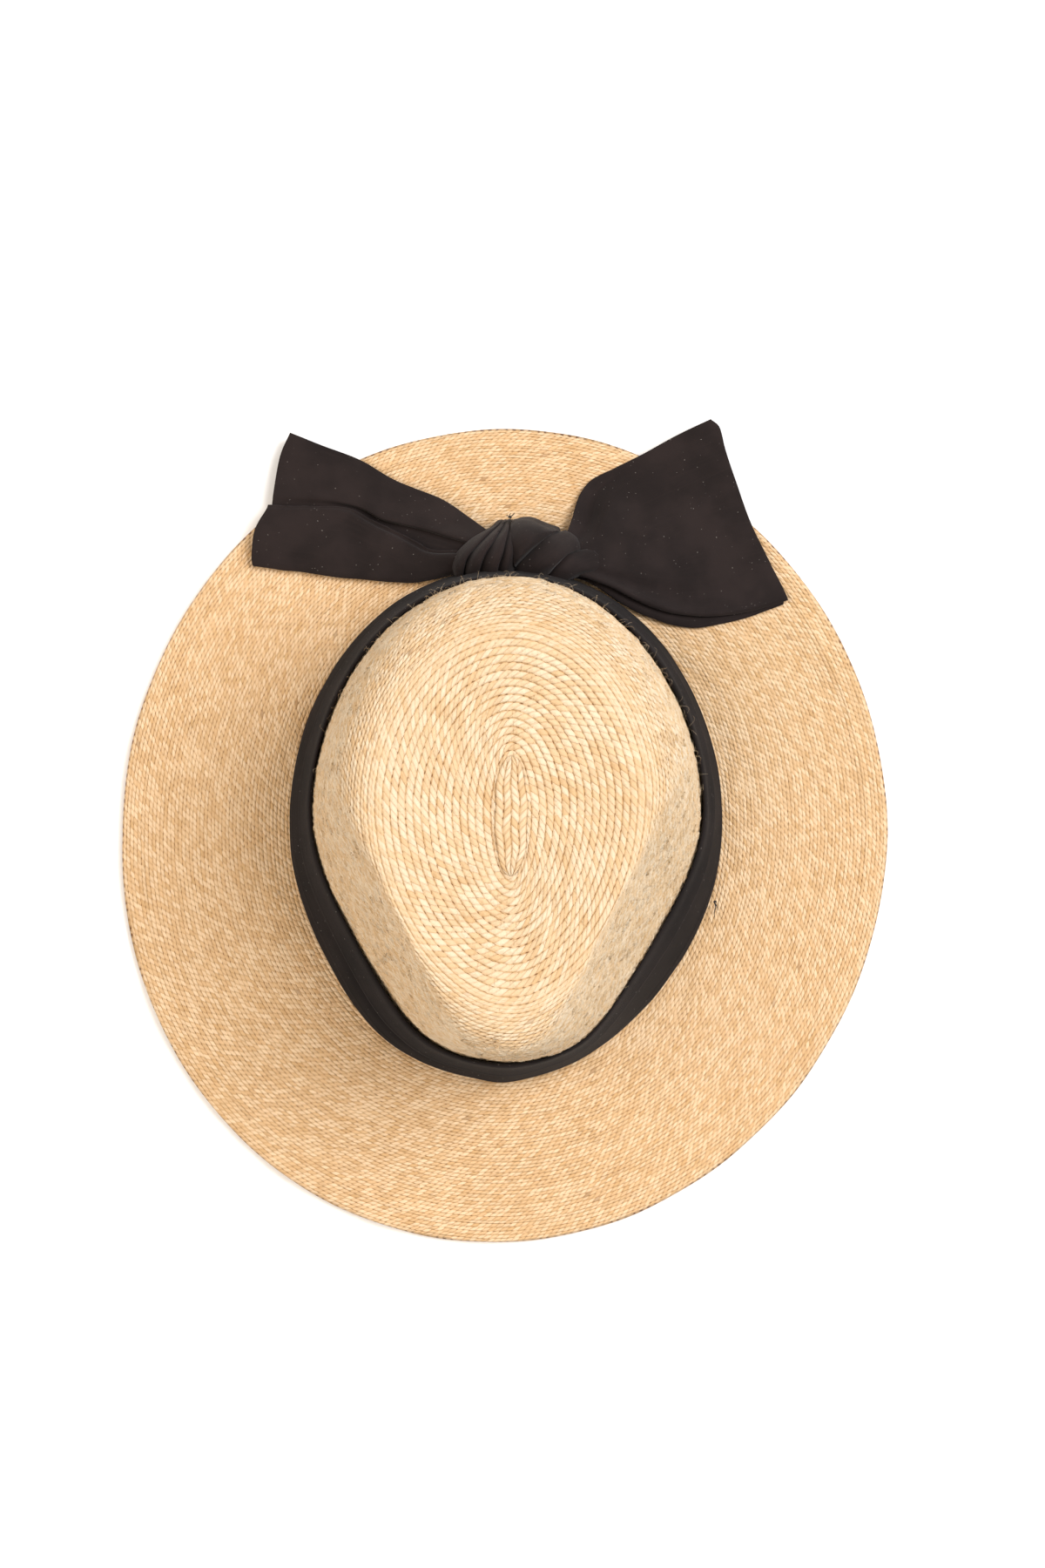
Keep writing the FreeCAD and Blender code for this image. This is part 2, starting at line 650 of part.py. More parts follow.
def tail_ground(name, lift):
    """Everything under the brim's upper face and its flat continuation, moved up by lift."""
    floor = doc.addObject("Part::Box", name + "_flat")
    floor.Length = 2 * TOOL_HALF
    floor.Width = 2 * TOOL_HALF
    floor.Placement.Base = V(-TOOL_HALF, -TOOL_HALF, 0)
    bind(floor, "Height", "{rim_top} + " + lift)
    return fuse(name, [slope(name + "_slope", lift), floor])


def tail(name, outline, side):
    """A tail: its outline cut down to a layer that follows the brim, with a round root."""
    body = doc.addObject("PartDesign::Body", name + "_plan")
    drawing = polygon_sketch(body, name + "_outline", "0", outline)
    pad(body, name + "_prism", drawing, "{corner_top}")
    layer = doc.addObject("Part::Common", name + "_upper")
    layer.Base = body
    layer.Tool = tail_ground(name + "_over", "({tail_gap} + {tail_thick})")
    cloth = cut(name + "_cloth", layer, tail_ground(name + "_under", "{tail_gap}"))
    root = doc.addObject("Part::Cylinder", name + "_root")
    bind(root, "Radius", "{root_radius}")
    bind(root, "Height", "{root_length}")
    turn = math.radians(size(side + "_root_turn"))
    along = V(-math.sin(turn), math.cos(turn), 0)
    centre = V(size(side + "_root_x"), size(side + "_root_y"), size("root_height"))
    root.Placement = FreeCAD.Placement(centre - along * (size("root_length") / 2),
                                       FreeCAD.Rotation(V(0, 0, 1), along))
    whole = join_pair(name, cloth, root)
    whole.Label = name
    return whole


left_tail = tail("left_tail", LEFT_OUTLINE, "left")
right_tail = tail("right_tail", RIGHT_OUTLINE, "right")


# ---------------------------------------------------------------- tacking threads
def thread(name, centre, ends):
    """A tacking thread: a small round knot and its cut ends, each (direction, length)."""
    knob = doc.addObject("Part::Sphere", name + "_knot")
    bind(knob, "Radius", "3 * {tack_radius}")
    knob.Placement.Base = centre
    parts = [knob]
    for index, (direction, length) in enumerate(ends):
        end = doc.addObject("Part::Cylinder", "%s_end_%d" % (name, index))
        bind(end, "Radius", "{tack_radius}")
        end.Height = length
        end.Placement = FreeCAD.Placement(centre, FreeCAD.Rotation(V(0, 0, 1), direction))
        parts.append(end)
    whole = fuse(name, parts)
    whole.Label = name
    return whole


knot_tack = thread("knot_tack", V(2.2, 131.7, 26.0),
                   [(V(0.5, 0.75, 0.45), 4.5), (V(-0.6, 0.7, 0.3), 4.0)])
band_tack = thread("band_tack", V(88.2, -28.0, 20.0),
                   [(V(-0.05, -1.0, 0.1), 6.0), (V(0.3, -0.8, -0.35), 4.5)])

# ---------------------------------------------------------------- check and write
doc.recompute()
NODES = [crown, centre_plait, brim, brim_hem, brim_wire, wire_ferrule, hem_stitches, sweatband,
         sweatband_tape, sweatband_stitches, scarf_band, knot_left, knot_right, left_tail, right_tail,
         knot_tack, band_tack]

for item in doc.Objects:
    state = [word for word in item.State if word in ("Invalid", "Error")]
    if state:
        raise RuntimeError("%s is %s" % (item.Name, state))
os.makedirs("parts", exist_ok=True)
for node in NODES:
    if node.Shape.isNull() or not node.Shape.isValid():
        raise RuntimeError("bad shape: " + node.Label)
    node.Shape.exportStep("parts/%s.step" % node.Label)
    box = node.Shape.BoundBox
    print("%-20s solids %3d volume %10.1f  x %7.1f %7.1f  y %7.1f %7.1f  z %6.2f %6.2f" % (
        node.Label, len(node.Shape.Solids), node.Shape.Volume,
        box.XMin, box.XMax, box.YMin, box.YMax, box.ZMin, box.ZMax))
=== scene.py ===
import math
import bpy
import numpy as np
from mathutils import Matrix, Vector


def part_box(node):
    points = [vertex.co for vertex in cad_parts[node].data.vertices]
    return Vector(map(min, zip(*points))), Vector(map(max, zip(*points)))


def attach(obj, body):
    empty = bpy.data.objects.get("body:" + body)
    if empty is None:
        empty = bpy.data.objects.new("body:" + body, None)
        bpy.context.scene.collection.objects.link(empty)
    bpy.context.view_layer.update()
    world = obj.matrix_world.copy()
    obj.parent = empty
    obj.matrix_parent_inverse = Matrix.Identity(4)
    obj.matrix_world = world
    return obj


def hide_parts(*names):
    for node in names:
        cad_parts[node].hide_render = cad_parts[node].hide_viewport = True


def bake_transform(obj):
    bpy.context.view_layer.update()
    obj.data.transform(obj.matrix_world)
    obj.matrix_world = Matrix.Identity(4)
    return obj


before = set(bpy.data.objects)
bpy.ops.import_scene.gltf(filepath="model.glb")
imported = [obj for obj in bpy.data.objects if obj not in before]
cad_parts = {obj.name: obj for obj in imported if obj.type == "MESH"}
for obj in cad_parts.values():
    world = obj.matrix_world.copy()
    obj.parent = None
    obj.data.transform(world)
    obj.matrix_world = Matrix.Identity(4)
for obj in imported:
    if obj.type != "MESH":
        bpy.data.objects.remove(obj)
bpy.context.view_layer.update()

# Everything is in metres, in the row frame: +Y to the back of the hat, +Z up, z = 0 under the hem.
MM = 0.001
TURN = 2 * math.pi

# ---------------------------------------------------------------- sizes read from the frame
crown_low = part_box("crown")[0]
brim_low, brim_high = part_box("brim")
plait_low, plait_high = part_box("centre_plait")

# the oval foot of the crown, its wall and its dished top
CROWN_X = 86.0 * MM
CROWN_Y = 102.3 * MM
CROWN_SHIFT = 5.3 * MM
CROWN_FOOT = crown_low.z
CROWN_WALL = 2.8 * MM
DISH = 9.0 * MM
PLAIT_GAP = 0.5 * MM
CORNER_TOP = plait_low.z - PLAIT_GAP + DISH
TOP_X = 70.0 * MM
TOP_Y = 92.6 * MM
TOP_SHIFT = 4.7 * MM
TOP_SIDE = 3.0 * MM
RIDGE_HALF = 17.0 * MM
RIDGE_SHIFT = 4.3 * MM
WALL_BOW = 0.3
START_SHARE = 0.07

# the two flat sides that meet at the front, and how far they draw the round crown in
PINCH_REACH = 51.2 * MM
PINCH_LOW = 97.0 * MM
PINCH_CURVE = 0.72
PINCH_ANGLE = math.radians(64.0)
PINCH_TWIST = math.radians(6.0)
PINCH_BLEND = 18.0

# how far the shoulder is rounded, at the sides and in a narrow stretch at the front
ROUND_SIDE = 29.0 * MM
ROUND_FRONT = 17.0 * MM
FRONT_NARROWNESS = 20

# the brim, from the crown's foot to the rim, which is rounded over and leans at the front
RIM_X = brim_high.x
RIM_Y = brim_high.y
SEAT_GAP = 0.2 * MM
RIM_TOP = brim_low.z + 2.6 * MM
BRIM_DROP = brim_high.z - RIM_TOP
BRIM_THICK = 2.6 * MM
FLAT_FROM = 0.88
RIM_LEAN = 5.0 * MM
FOOT_FADE = 8
RIM_ROUND = 2.2 * MM
RIM_SINK = 0.9 * MM

# the turned-under edge shows on top as a low ridge
HEM_WIDTH = 9.0 * MM
HEM_RIDGE = 0.55 * MM
HEM_RIDGE_WIDTH = 1.3 * MM

# the sweatband and its joint tape, measured from the outside of the crown wall, and their ribs
SWEAT_OUT = -3.2 * MM
SWEAT_THICK = 0.8 * MM
SWEAT_LOW = 12.0 * MM
SWEAT_HIGH = 42.0 * MM
TAPE_LOW = 16.0 * MM
TAPE_HIGH = 38.0 * MM
RIB = 1.5 * MM
RIB_DEPTH = 0.09 * MM

# the braid: rows, stitch lengths, and the rows where rope-like rows turn into knit-like ones
CROWN_ROWS = 55
CROWN_STITCH = 3.1 * MM
BRIM_ROWS = 24
BRIM_STITCH = 2.6 * MM
KNIT_FROM_ROW = 13
KNIT_FADE = 7
ROPE_LIFT = 0.95 * MM
KNIT_LIFT = 0.80 * MM

# how uneven the stitches are: how far the surface drifts, how much neighbours differ, and how many
# differ before they repeat
STITCH_DRIFT = 0.22 * MM
STITCH_SPREAD = 0.20
STITCH_TABLE = 4096

# stitches round the cut edge that joins the two faces of a skin
EDGE_STITCHES = 300.0

# the rows of the crown's wall that are tinted a little deeper in colour as painted warm shade, and the
# row number of the first plait, which is past the last row so that the straw can tell it apart
PAINTED_SHADE_WALL_ROWS = (24.0, 34.0)
FIRST_PLAIT_ROW = 70


# ---------------------------------------------------------------- meshes and lines
def add_object(name, data):
    """A new object with that data, put into the scene."""
    made = bpy.data.objects.new(name, data)
    bpy.context.scene.collection.objects.link(made)
    return made


def round_angles(count):
    """count angles, evenly spaced once round."""
    return np.arange(count) * TURN / count


def distances(line):
    """How far along a line each of its points is."""
    return np.concatenate([[0], np.cumsum(np.linalg.norm(np.diff(line, axis=0), axis=1))])


def at_distances(line, wanted):
    """Points of a line at the wanted distances along it."""
    travelled = distances(line)
    return np.stack([np.interp(wanted, travelled, line[:, axis]) for axis in range(3)], axis=1)


def swell(angles, middle, width):
    """1 at the middle angle, falling softly to 0 over about that width."""
    return np.exp(-((angles - middle) / width) ** 2)


def mesh_from_quads(name, points, quads, layers=None):
    """A smooth-shaded object from points (n, 3) and quads (m, 4); layers are per-corner UV maps."""
    mesh = bpy.data.meshes.new(name)
    mesh.vertices.add(len(points))
    mesh.vertices.foreach_set("co", np.ascontiguousarray(points, np.float32).ravel())
    mesh.loops.add(4 * len(quads))
    mesh.loops.foreach_set("vertex_index", np.ascontiguousarray(quads, np.int32).ravel())
    mesh.polygons.add(len(quads))
    mesh.polygons.foreach_set("loop_start", np.arange(0, 4 * len(quads), 4, dtype=np.int32))
    mesh.update(calc_edges=True)
    for layer_name, values in (layers or {}).items():
        layer = mesh.uv_layers.new(name=layer_name)
        layer.data.foreach_set("uv", np.ascontiguousarray(values, np.float32).ravel())
    mesh.validate()
    mesh.shade_smooth()
    return add_object(name, mesh)


def grid_quads(rows, columns, wrap_rows, wrap_columns):
    """Corner numbers of every quad of a grid, with its row and column."""
    row = np.arange(rows if wrap_rows else rows - 1)
    column = np.arange(columns if wrap_columns else columns - 1)
    row, column = (item.ravel() for item in np.meshgrid(row, column, indexing="ij"))
    next_row = (row + 1) % rows
    next_column = (column + 1) % columns
    quads = np.stack([row * columns + column, next_row * columns + column,
                      next_row * columns + next_column, row * columns + next_column], axis=1)
    return quads, row, column


def end_quads(rows, columns):
    """Quads that close both ends of a sheet whose second face runs back under its rows."""
    upper = np.arange(rows - 1) * columns
    lower = (2 * rows - 1 - np.arange(rows - 1)) * columns
    first = np.stack([lower, lower - columns, upper + columns, upper], axis=1)
    return np.concatenate([first, first[:, ::-1] + columns - 1])


def grid_normals(points, wrap_columns=True):
    """Unit normals of a grid of points (rows, columns, 3)."""
    if wrap_columns:
        along = np.roll(points, -1, axis=1) - np.roll(points, 1, axis=1)
    else:
        along = np.gradient(points, axis=1)
    across = np.gradient(points, axis=0)
    normal = np.cross(across, along)
    length = np.linalg.norm(normal, axis=2, keepdims=True)
    return normal / np.maximum(length, 1e-12)


def fraction(value):
    """The part of a number after its whole part."""
    return value - np.floor(value)


# ---------------------------------------------------------------- braid relief
def braid_coordinates(ring_lengths, rows, per_row, stitch, seed):
    """How many stitches each row holds, a whole number, and where in a stitch it starts."""
    source = np.random.default_rng(seed)
    counts = []
    phases = []
    for row in range(rows):
        length = ring_lengths[row * per_row + per_row // 2]
        counts.append(max(6, round(length / stitch)))
        phases.append(source.random())
    counts.append(counts[-1])
    phases.append(phases[-1])
    return np.array(counts, float), np.array(phases)


def rope_relief(v, w):
    """Height, 0 to 1, of a rope-like row: v across the row, w in stitches along it."""
    sway = 0.12 * np.sin(TURN * w) * np.sin(math.pi * v) + 0.05 * np.sin(0.37 * TURN * w + 1.0)
    row = 1 - np.abs(np.clip(2 * (v + sway) - 1, -1, 1)) ** 2.6
    strand = 1 - np.abs(2 * fraction(w + 1.25 * (v - 0.5)) - 1) ** 2.2
    groove = 1 - 0.2 * np.exp(-((v - 0.5) / 0.12) ** 2)
    return np.clip(row, 0, 1) * (0.5 + 0.5 * strand) * groove


def knit_relief(v, w):
    """Height, 0 to 1, of a row made of two lines of small slanted lozenges."""
    half = np.clip(np.floor(2 * v), 0, 1)
    inner = np.clip(2 * v - half, 0, 1)
    lozenge = fraction(w + 0.5 * half + 0.75 * (inner - 0.5))
    row = 1 - np.abs(2 * inner - 1) ** 2.2
    bead = 1 - np.abs(2 * lozenge - 1) ** 2.2
    return np.clip(row, 0, 1) * (0.35 + 0.65 * bead)


def braided_skin(name, outer, inner, rows, per_row, inner_per_row, stitch, lift, knit_share, seed):
    """A closed skin of braid: outer and inner are grids of rings with the same number of columns.

    outer has rows * per_row + 1 rings, inner rows * inner_per_row + 1. knit_share gives, per row,
    how much of the relief is knit-like rather than rope-like. The UV layer "braid" holds, along u,
    stitches and, along v, rows."""
    columns = outer.shape[1]

    def with_relief(rings, steps, sign, side_seed):
        """The rings moved by the braid's relief, and where each of their stitches is."""
        lengths = np.linalg.norm(np.roll(rings, -1, axis=1) - rings, axis=2)
        ring_lengths = lengths.sum(axis=1)
        share = np.concatenate([np.zeros((len(rings), 1)), np.cumsum(lengths, axis=1)], axis=1)
        share = share / ring_lengths[:, None]
        counts, phases = braid_coordinates(ring_lengths, rows, steps, stitch, side_seed)
        level = np.arange(len(rings))
        row = np.minimum(level // steps, rows - 1)
        v = (level - row * steps) / steps
        w = share[:, :columns] * counts[row][:, None] + phases[row][:, None]
        v_grid = np.repeat(v[:, None], columns, axis=1)
        source = np.random.default_rng(side_seed + 1)
        strength = source.normal(1.0, STITCH_SPREAD, (rows, STITCH_TABLE))
        stitch_number = np.floor(w).astype(int) % STITCH_TABLE
        local = strength[row[:, None], stitch_number]
        knit = knit_share[row][:, None]
        v_grid = v_grid + 0.4 * (local - 1) * np.sin(math.pi * v_grid)
        height = (1 - knit) * rope_relief(v_grid, w) + knit * knit_relief(v_grid, w)
        height = height * np.clip(local, 0.5, 1.45)
        normal = grid_normals(rings) * sign
        drift = smooth_noise(len(rings), columns, source)
        moved = rings + normal * ((height - 0.75) * lift + STITCH_DRIFT * drift)[..., None]
        return moved, share, counts, phases

    outer_moved, outer_share, outer_counts, outer_phases = with_relief(outer, per_row, 1.0, seed)
    inner_moved, inner_share, inner_counts, inner_phases = with_relief(inner, inner_per_row, -1.0,
                                                                       seed + 50)
    rings = np.concatenate([outer_moved, inner_moved[::-1]], axis=0)
    quads, row_of, column_of = grid_quads(len(rings), columns, True, True)

    uv = np.zeros((len(quads), 4, 2))
    outer_count = len(outer)
    corner_rows = np.stack([row_of, row_of + 1, row_of + 1, row_of], axis=1)
    corner_columns = np.stack([column_of, column_of, column_of + 1, column_of + 1], axis=1)
    on_outer = row_of < outer_count - 1
    on_inner = (row_of >= outer_count) & (row_of < len(rings) - 1)

    def fill(mask, levels, share, counts, phases, steps):
        """Write the stitch and row of the masked quads' corners."""
        base = np.minimum(levels.min(axis=1) // steps, rows - 1)
        w = share[levels, corner_columns[mask]] * counts[base][:, None] + phases[base][:, None]
        uv[mask, :, 0] = w
        uv[mask, :, 1] = levels / steps

    fill(on_outer, corner_rows[on_outer], outer_share, outer_counts, outer_phases, per_row)
    inner_levels = len(rings) - 1 - corner_rows[on_inner]
    fill(on_inner, inner_levels, inner_share, inner_counts, inner_phases, inner_per_row)
    edge = ~(on_outer | on_inner)
    uv[edge, :, 0] = corner_columns[edge] / columns * EDGE_STITCHES
    uv[edge, :, 1] = 0.5
    return mesh_from_quads(name, rings.reshape(-1, 3), quads, {"braid": uv.reshape(-1, 2)})


def smooth_noise(rows, columns, source):
    """Soft random unevenness on a grid that closes round, about -1 to 1."""
    total = np.zeros((rows, columns))
    level = np.linspace(0, 1, rows)[:, None]
    angle = np.linspace(0, TURN, columns, endpoint=False)[None, :]
    for _ in range(40):
        turns = source.integers(1, 26)
        rise = source.uniform(-14, 14)
        total += np.sin(turns * angle + rise * level * 3 + source.uniform(0, TURN))
    return total / 6.0


# ---------------------------------------------------------------- crown shape
def crown_start(angles):
    """The middle line of the top, which the braid turns round, in plan."""
    return np.stack([TOP_SIDE + 0 * angles,
                     CROWN_SHIFT + RIDGE_SHIFT + RIDGE_HALF * np.sin(angles)], axis=1)


def crown_corner(angles):
    """Top corner of the round crown before its shoulder is rounded, in plan."""
    return np.stack([TOP_SIDE + TOP_X * np.cos(angles),
                     CROWN_SHIFT + TOP_SHIFT + TOP_Y * np.sin(angles)], axis=1)


def round_wall(angles, share):
    """Points on the round wall before the pinch, share of the way from foot to corner."""
    share = np.broadcast_to(np.asarray(share, float), (len(angles),))
    foot = np.stack([CROWN_X * np.cos(angles), CROWN_SHIFT + CROWN_Y * np.sin(angles)], axis=1)
    lean = share + WALL_BOW * share * (1 - share)
    flat = foot + (crown_corner(angles) - foot) * lean[:, None]
    height = CROWN_FOOT + (CORNER_TOP - CROWN_FOOT) * share
    return np.concatenate([flat, height[:, None]], axis=1)


def pinched(angles, points):
    """Points of the round crown drawn in to the two flat sides that meet at the front."""
    start = crown_start(angles)
    reach = points[:, :2] - start
    share = np.clip((points[:, 2] - CROWN_FOOT) / (CORNER_TOP - CROWN_FOOT), 0, None)
    turn = PINCH_ANGLE - PINCH_TWIST * (1 - share)
    limit = PINCH_LOW + (PINCH_REACH - PINCH_LOW) * share ** PINCH_CURVE
    total = np.ones(len(angles))
    for side in (-1, 1):
        facing = np.stack([side * np.sin(turn), -np.cos(turn)], axis=1)
        outward = (facing * reach).sum(axis=1)
        room = limit - (facing * (start - np.array([0, CROWN_SHIFT]))).sum(axis=1)
        total += np.clip(outward / room, 0, None) ** PINCH_BLEND
    flat = start + reach * (total ** (-1 / PINCH_BLEND))[:, None]
    return np.concatenate([flat, points[:, 2:]], axis=1)


def crown_rings(columns, ring_count):
    """Rings on the outside of the crown from the first plait to the foot, evenly spaced."""
    angles = round_angles(columns)
    start = crown_start(angles)
    corner = crown_corner(angles)
    front = np.clip(-np.sin(angles), 0, 1) ** FRONT_NARROWNESS
    rounding = ROUND_SIDE * (1 - front) + ROUND_FRONT * front
    join = 1 - rounding / np.linalg.norm(corner - start, axis=1)
    leave = 1 - rounding / (CORNER_TOP - CROWN_FOOT)

    def on_top(share):
        flat = start + (corner - start) * share[:, None]
        return np.concatenate([flat, (CORNER_TOP - DISH * (1 - share ** 2))[:, None]], axis=1)

    over = [on_top(START_SHARE + (join - START_SHARE) * step) for step in np.linspace(0, 1, 40)]
    wall_start = round_wall(angles, leave)
    slope = (wall_start - round_wall(angles, leave - 0.01)) / 0.01
    peak = wall_start + slope * (1 - leave)[:, None]
    turn = [over[-1] * (1 - step) ** 2 + peak * (2 * step * (1 - step)) + wall_start * step ** 2
            for step in np.linspace(0, 1, 50)[1:]]
    down = [round_wall(angles, leave * (1 - step)) for step in np.linspace(0, 1, 30)[1:]]
    line = np.stack([pinched(angles, points) for points in over + turn + down])
    travelled = np.cumsum(np.linalg.norm(np.diff(line, axis=0), axis=2), axis=0)
    travelled = np.concatenate([np.zeros((1, columns)), travelled])
    rings = np.zeros((ring_count, columns, 3))
    wanted = np.linspace(0, 1, ring_count)
    for index in range(columns):
        for axis in range(3):
            rings[:, index, axis] = np.interp(wanted * travelled[-1, index], travelled[:, index],
                                              line[:, index, axis])
    return rings


def wall_line(angles, height, offset):
    """A line on the wall at a height (one number or one per angle), moved outward by offset."""
    share = (np.asarray(height, float) - CROWN_FOOT) / (CORNER_TOP - CROWN_FOOT)
    tiny = 0.002
    points = pinched(angles, round_wall(angles, share))
    after = pinched(angles + tiny, round_wall(angles + tiny, share))
    along = after - pinched(angles - tiny, round_wall(angles - tiny, share))
    outward = np.stack([along[:, 1], -along[:, 0], 0 * along[:, 0]], axis=1)
    outward = outward / np.linalg.norm(outward, axis=1, keepdims=True)
    return points + outward * np.broadcast_to(np.asarray(offset, float), (len(angles),))[:, None]


def resampled(rings, count):
    """The same stack of rings with another number of rings."""
    position = np.linspace(0, len(rings) - 1, count)
    low = np.floor(position).astype(int)
    high = np.minimum(low + 1, len(rings) - 1)
    part = (position - low)[:, None, None]
    return rings[low] * (1 - part) + rings[high] * part


# ---------------------------------------------------------------- brim shape
def brim_share(x, y):
    """0 at the crown, 1 at the rim, for points in plan."""
    low = np.full(np.shape(x), -0.3)
    high = np.full(np.shape(x), 1.6)
    for _ in range(40):
        middle = (low + high) / 2
        half_x = CROWN_X + (RIM_X - CROWN_X) * middle
        half_y = CROWN_Y + (RIM_Y - CROWN_Y) * middle
        outside = (x / half_x) ** 2 + ((y - CROWN_SHIFT * (1 - middle)) / half_y) ** 2 > 1
        low = np.where(outside, middle, low)
        high = np.where(outside, high, middle)
    return (low + high) / 2


def brim_height(share):
    """Height of the brim's upper face."""
    reached = np.clip(share / FLAT_FROM, 0, 1)
    return RIM_TOP + BRIM_DROP * (0.5 + 0.5 * np.cos(math.pi * reached))


def brim_top_at(x, y):
    """Height of the brim's upper face at points in plan."""
    return brim_height(brim_share(np.asarray(x, float), np.asarray(y, float)))


def brim_waves(share, angle):
    """Soft unevenness of the middle of the brim; the rim and the crown edge stay put."""
    fade = np.sin(math.pi * np.clip(share, 0, 1)) ** 1.5
    wave = 0.9 * np.sin(2 * angle + 0.6) + 0.6 * np.sin(3 * angle - 1.1)
    wave = wave + 0.4 * np.sin(5 * angle + 2.0)
    return MM * 0.9 * fade * wave


def rim_lean(y):
    """How far the front of the hand-shaped brim leans over to the left."""
    return -RIM_LEAN * np.clip(-y / RIM_Y, 0, 1)


def brim_ring(share, columns):
    """One ring of the brim's upper face; its inner edge follows the drawn-in foot of the crown."""
    angle = round_angles(columns)
    half_x = CROWN_X + SEAT_GAP + (RIM_X - CROWN_X - SEAT_GAP) * share
    half_y = CROWN_Y + SEAT_GAP + (RIM_Y - CROWN_Y - SEAT_GAP) * share
    x = half_x * np.cos(angle)
    y = CROWN_SHIFT * (1 - share) + half_y * np.sin(angle)
    foot = round_wall(angle, 0.0)
    drawn_in = (pinched(angle, foot) - foot) * (1 - share) ** FOOT_FADE
    x = x + share * rim_lean(y) + drawn_in[:, 0]
    y = y + drawn_in[:, 1]
    z = brim_height(np.full(columns, share)) + brim_waves(share, angle)
    from_rim = (1 - share) * (RIM_X - CROWN_X)
    z = z + HEM_RIDGE * math.exp(-((from_rim - HEM_WIDTH) / HEM_RIDGE_WIDTH) ** 2)
    edge = max(0.0, 1 - from_rim / RIM_ROUND)
    z = z - RIM_SINK * edge ** 2
    return np.stack([x, y, z], axis=1)


# ---------------------------------------------------------------- build the straw
# Rings for each row of braid on the hidden faces, and the share of the relief that the thickness
# leaves room for.
CROWN_INNER_STEPS = 2
BRIM_UNDER_STEPS = 3
RELIEF_ROOM = 0.4

crown_columns = 1260
crown_per_row = 6
brim_columns = 1500
brim_per_row = 6

crown_outer = crown_rings(crown_columns, CROWN_ROWS * crown_per_row + 1)
crown_inner = resampled(crown_outer - grid_normals(crown_outer) * (CROWN_WALL - ROPE_LIFT * RELIEF_ROOM),
                        CROWN_ROWS * CROWN_INNER_STEPS + 1)
knit_on_crown = np.clip((np.arange(CROWN_ROWS) - KNIT_FROM_ROW) / KNIT_FADE, 0, 1)
crown = braided_skin("straw_crown", crown_outer, crown_inner, CROWN_ROWS, crown_per_row,
                     CROWN_INNER_STEPS, CROWN_STITCH, ROPE_LIFT, knit_on_crown, 3)

brim_outer = np.stack([brim_ring(share, brim_columns)
                       for share in np.linspace(0, 1, BRIM_ROWS * brim_per_row + 1)])
brim_under = np.stack([brim_ring(share, brim_columns)
                       for share in np.linspace(0, 1, BRIM_ROWS * BRIM_UNDER_STEPS + 1)])
brim_under[:, :, 2] -= BRIM_THICK - KNIT_LIFT * RELIEF_ROOM
brim = braided_skin("straw_brim", brim_outer, brim_under, BRIM_ROWS, brim_per_row,
                    BRIM_UNDER_STEPS, BRIM_STITCH, KNIT_LIFT, np.ones(BRIM_ROWS), 4)


# ---------------------------------------------------------------- cloth shapes
# SIGHT is the place the hat is looked at from. The lines below are drawn as they lie on the ground
# plan seen from there, in units of PLAN_SCALE millimetres.
CLOTH_THICK = 0.45 * MM
SIGHT = (7.4 * MM, 21.9 * MM, 1.40)
PLAN_SCALE = 1.0176


def smooth_through(points, steps):
    """A smooth run through points along the first axis, with steps places from each to the next."""
    ahead = np.diff(points, axis=0)
    size = np.linalg.norm(ahead, axis=-1, keepdims=True)
    slope = np.concatenate([ahead[:1], (ahead[1:] + ahead[:-1]) / 2, ahead[-1:]])
    room = np.concatenate([size[:1], np.minimum(size[1:], size[:-1]), size[-1:]])
    length = np.maximum(np.linalg.norm(slope, axis=-1, keepdims=True), 1e-12)
    slope = slope * np.minimum(1, 1.3 * room / length)
    t = np.linspace(0, 1, steps, endpoint=False).reshape(-1, *[1] * (points.ndim - 1))
    parts = []
    for index in range(len(points) - 1):
        parts.append((2 * t ** 3 - 3 * t ** 2 + 1) * points[index]
                     + (t ** 3 - 2 * t ** 2 + t) * slope[index]
                     + (3 * t ** 2 - 2 * t ** 3) * points[index + 1]
                     + (t ** 3 - t ** 2) * slope[index + 1])
    return np.concatenate(parts + [points[-1:]])


def smooth_line(points, count):
    """count evenly spaced points on a smooth curve through the given points."""
    fine = smooth_through(np.asarray(points, float), 20)
    return at_distances(fine, np.linspace(0, distances(fine)[-1], count))


def loft(lines, along, steps):
    """A grid of points across smooth lines; each line has its own number of given points."""
    return smooth_through(np.stack([smooth_line(line, along) for line in lines]), steps)


def from_plan(points, above_brim):
    """Points drawn on the ground plan as seen from SIGHT, brought up to their height in mm."""
    placed = []
    for x, y, height in points:
        x, y, height = x * PLAN_SCALE * MM, y * PLAN_SCALE * MM, height * MM
        if above_brim:
            height = height + float(brim_top_at(x, y))
        share = 1 - height / SIGHT[2]
        placed.append((SIGHT[0] + (x - SIGHT[0]) * share, SIGHT[1] + (y - SIGHT[1]) * share, height))
    return placed


def crinkled(grid, size, wavelength, seed, wrap=False):
    """Cloth with soft random unevenness of that size along its normals."""
    source = np.random.default_rng(seed)
    total = np.zeros(grid.shape[:2])
    for _ in range(30):
        direction = source.normal(size=3)
        direction = direction / np.linalg.norm(direction) / (wavelength * source.uniform(0.7, 2.2))
        total += np.sin(TURN * (grid @ direction) + source.uniform(0, TURN))
    return grid + grid_normals(grid, wrap) * (total / 5.5 * size)[..., None]


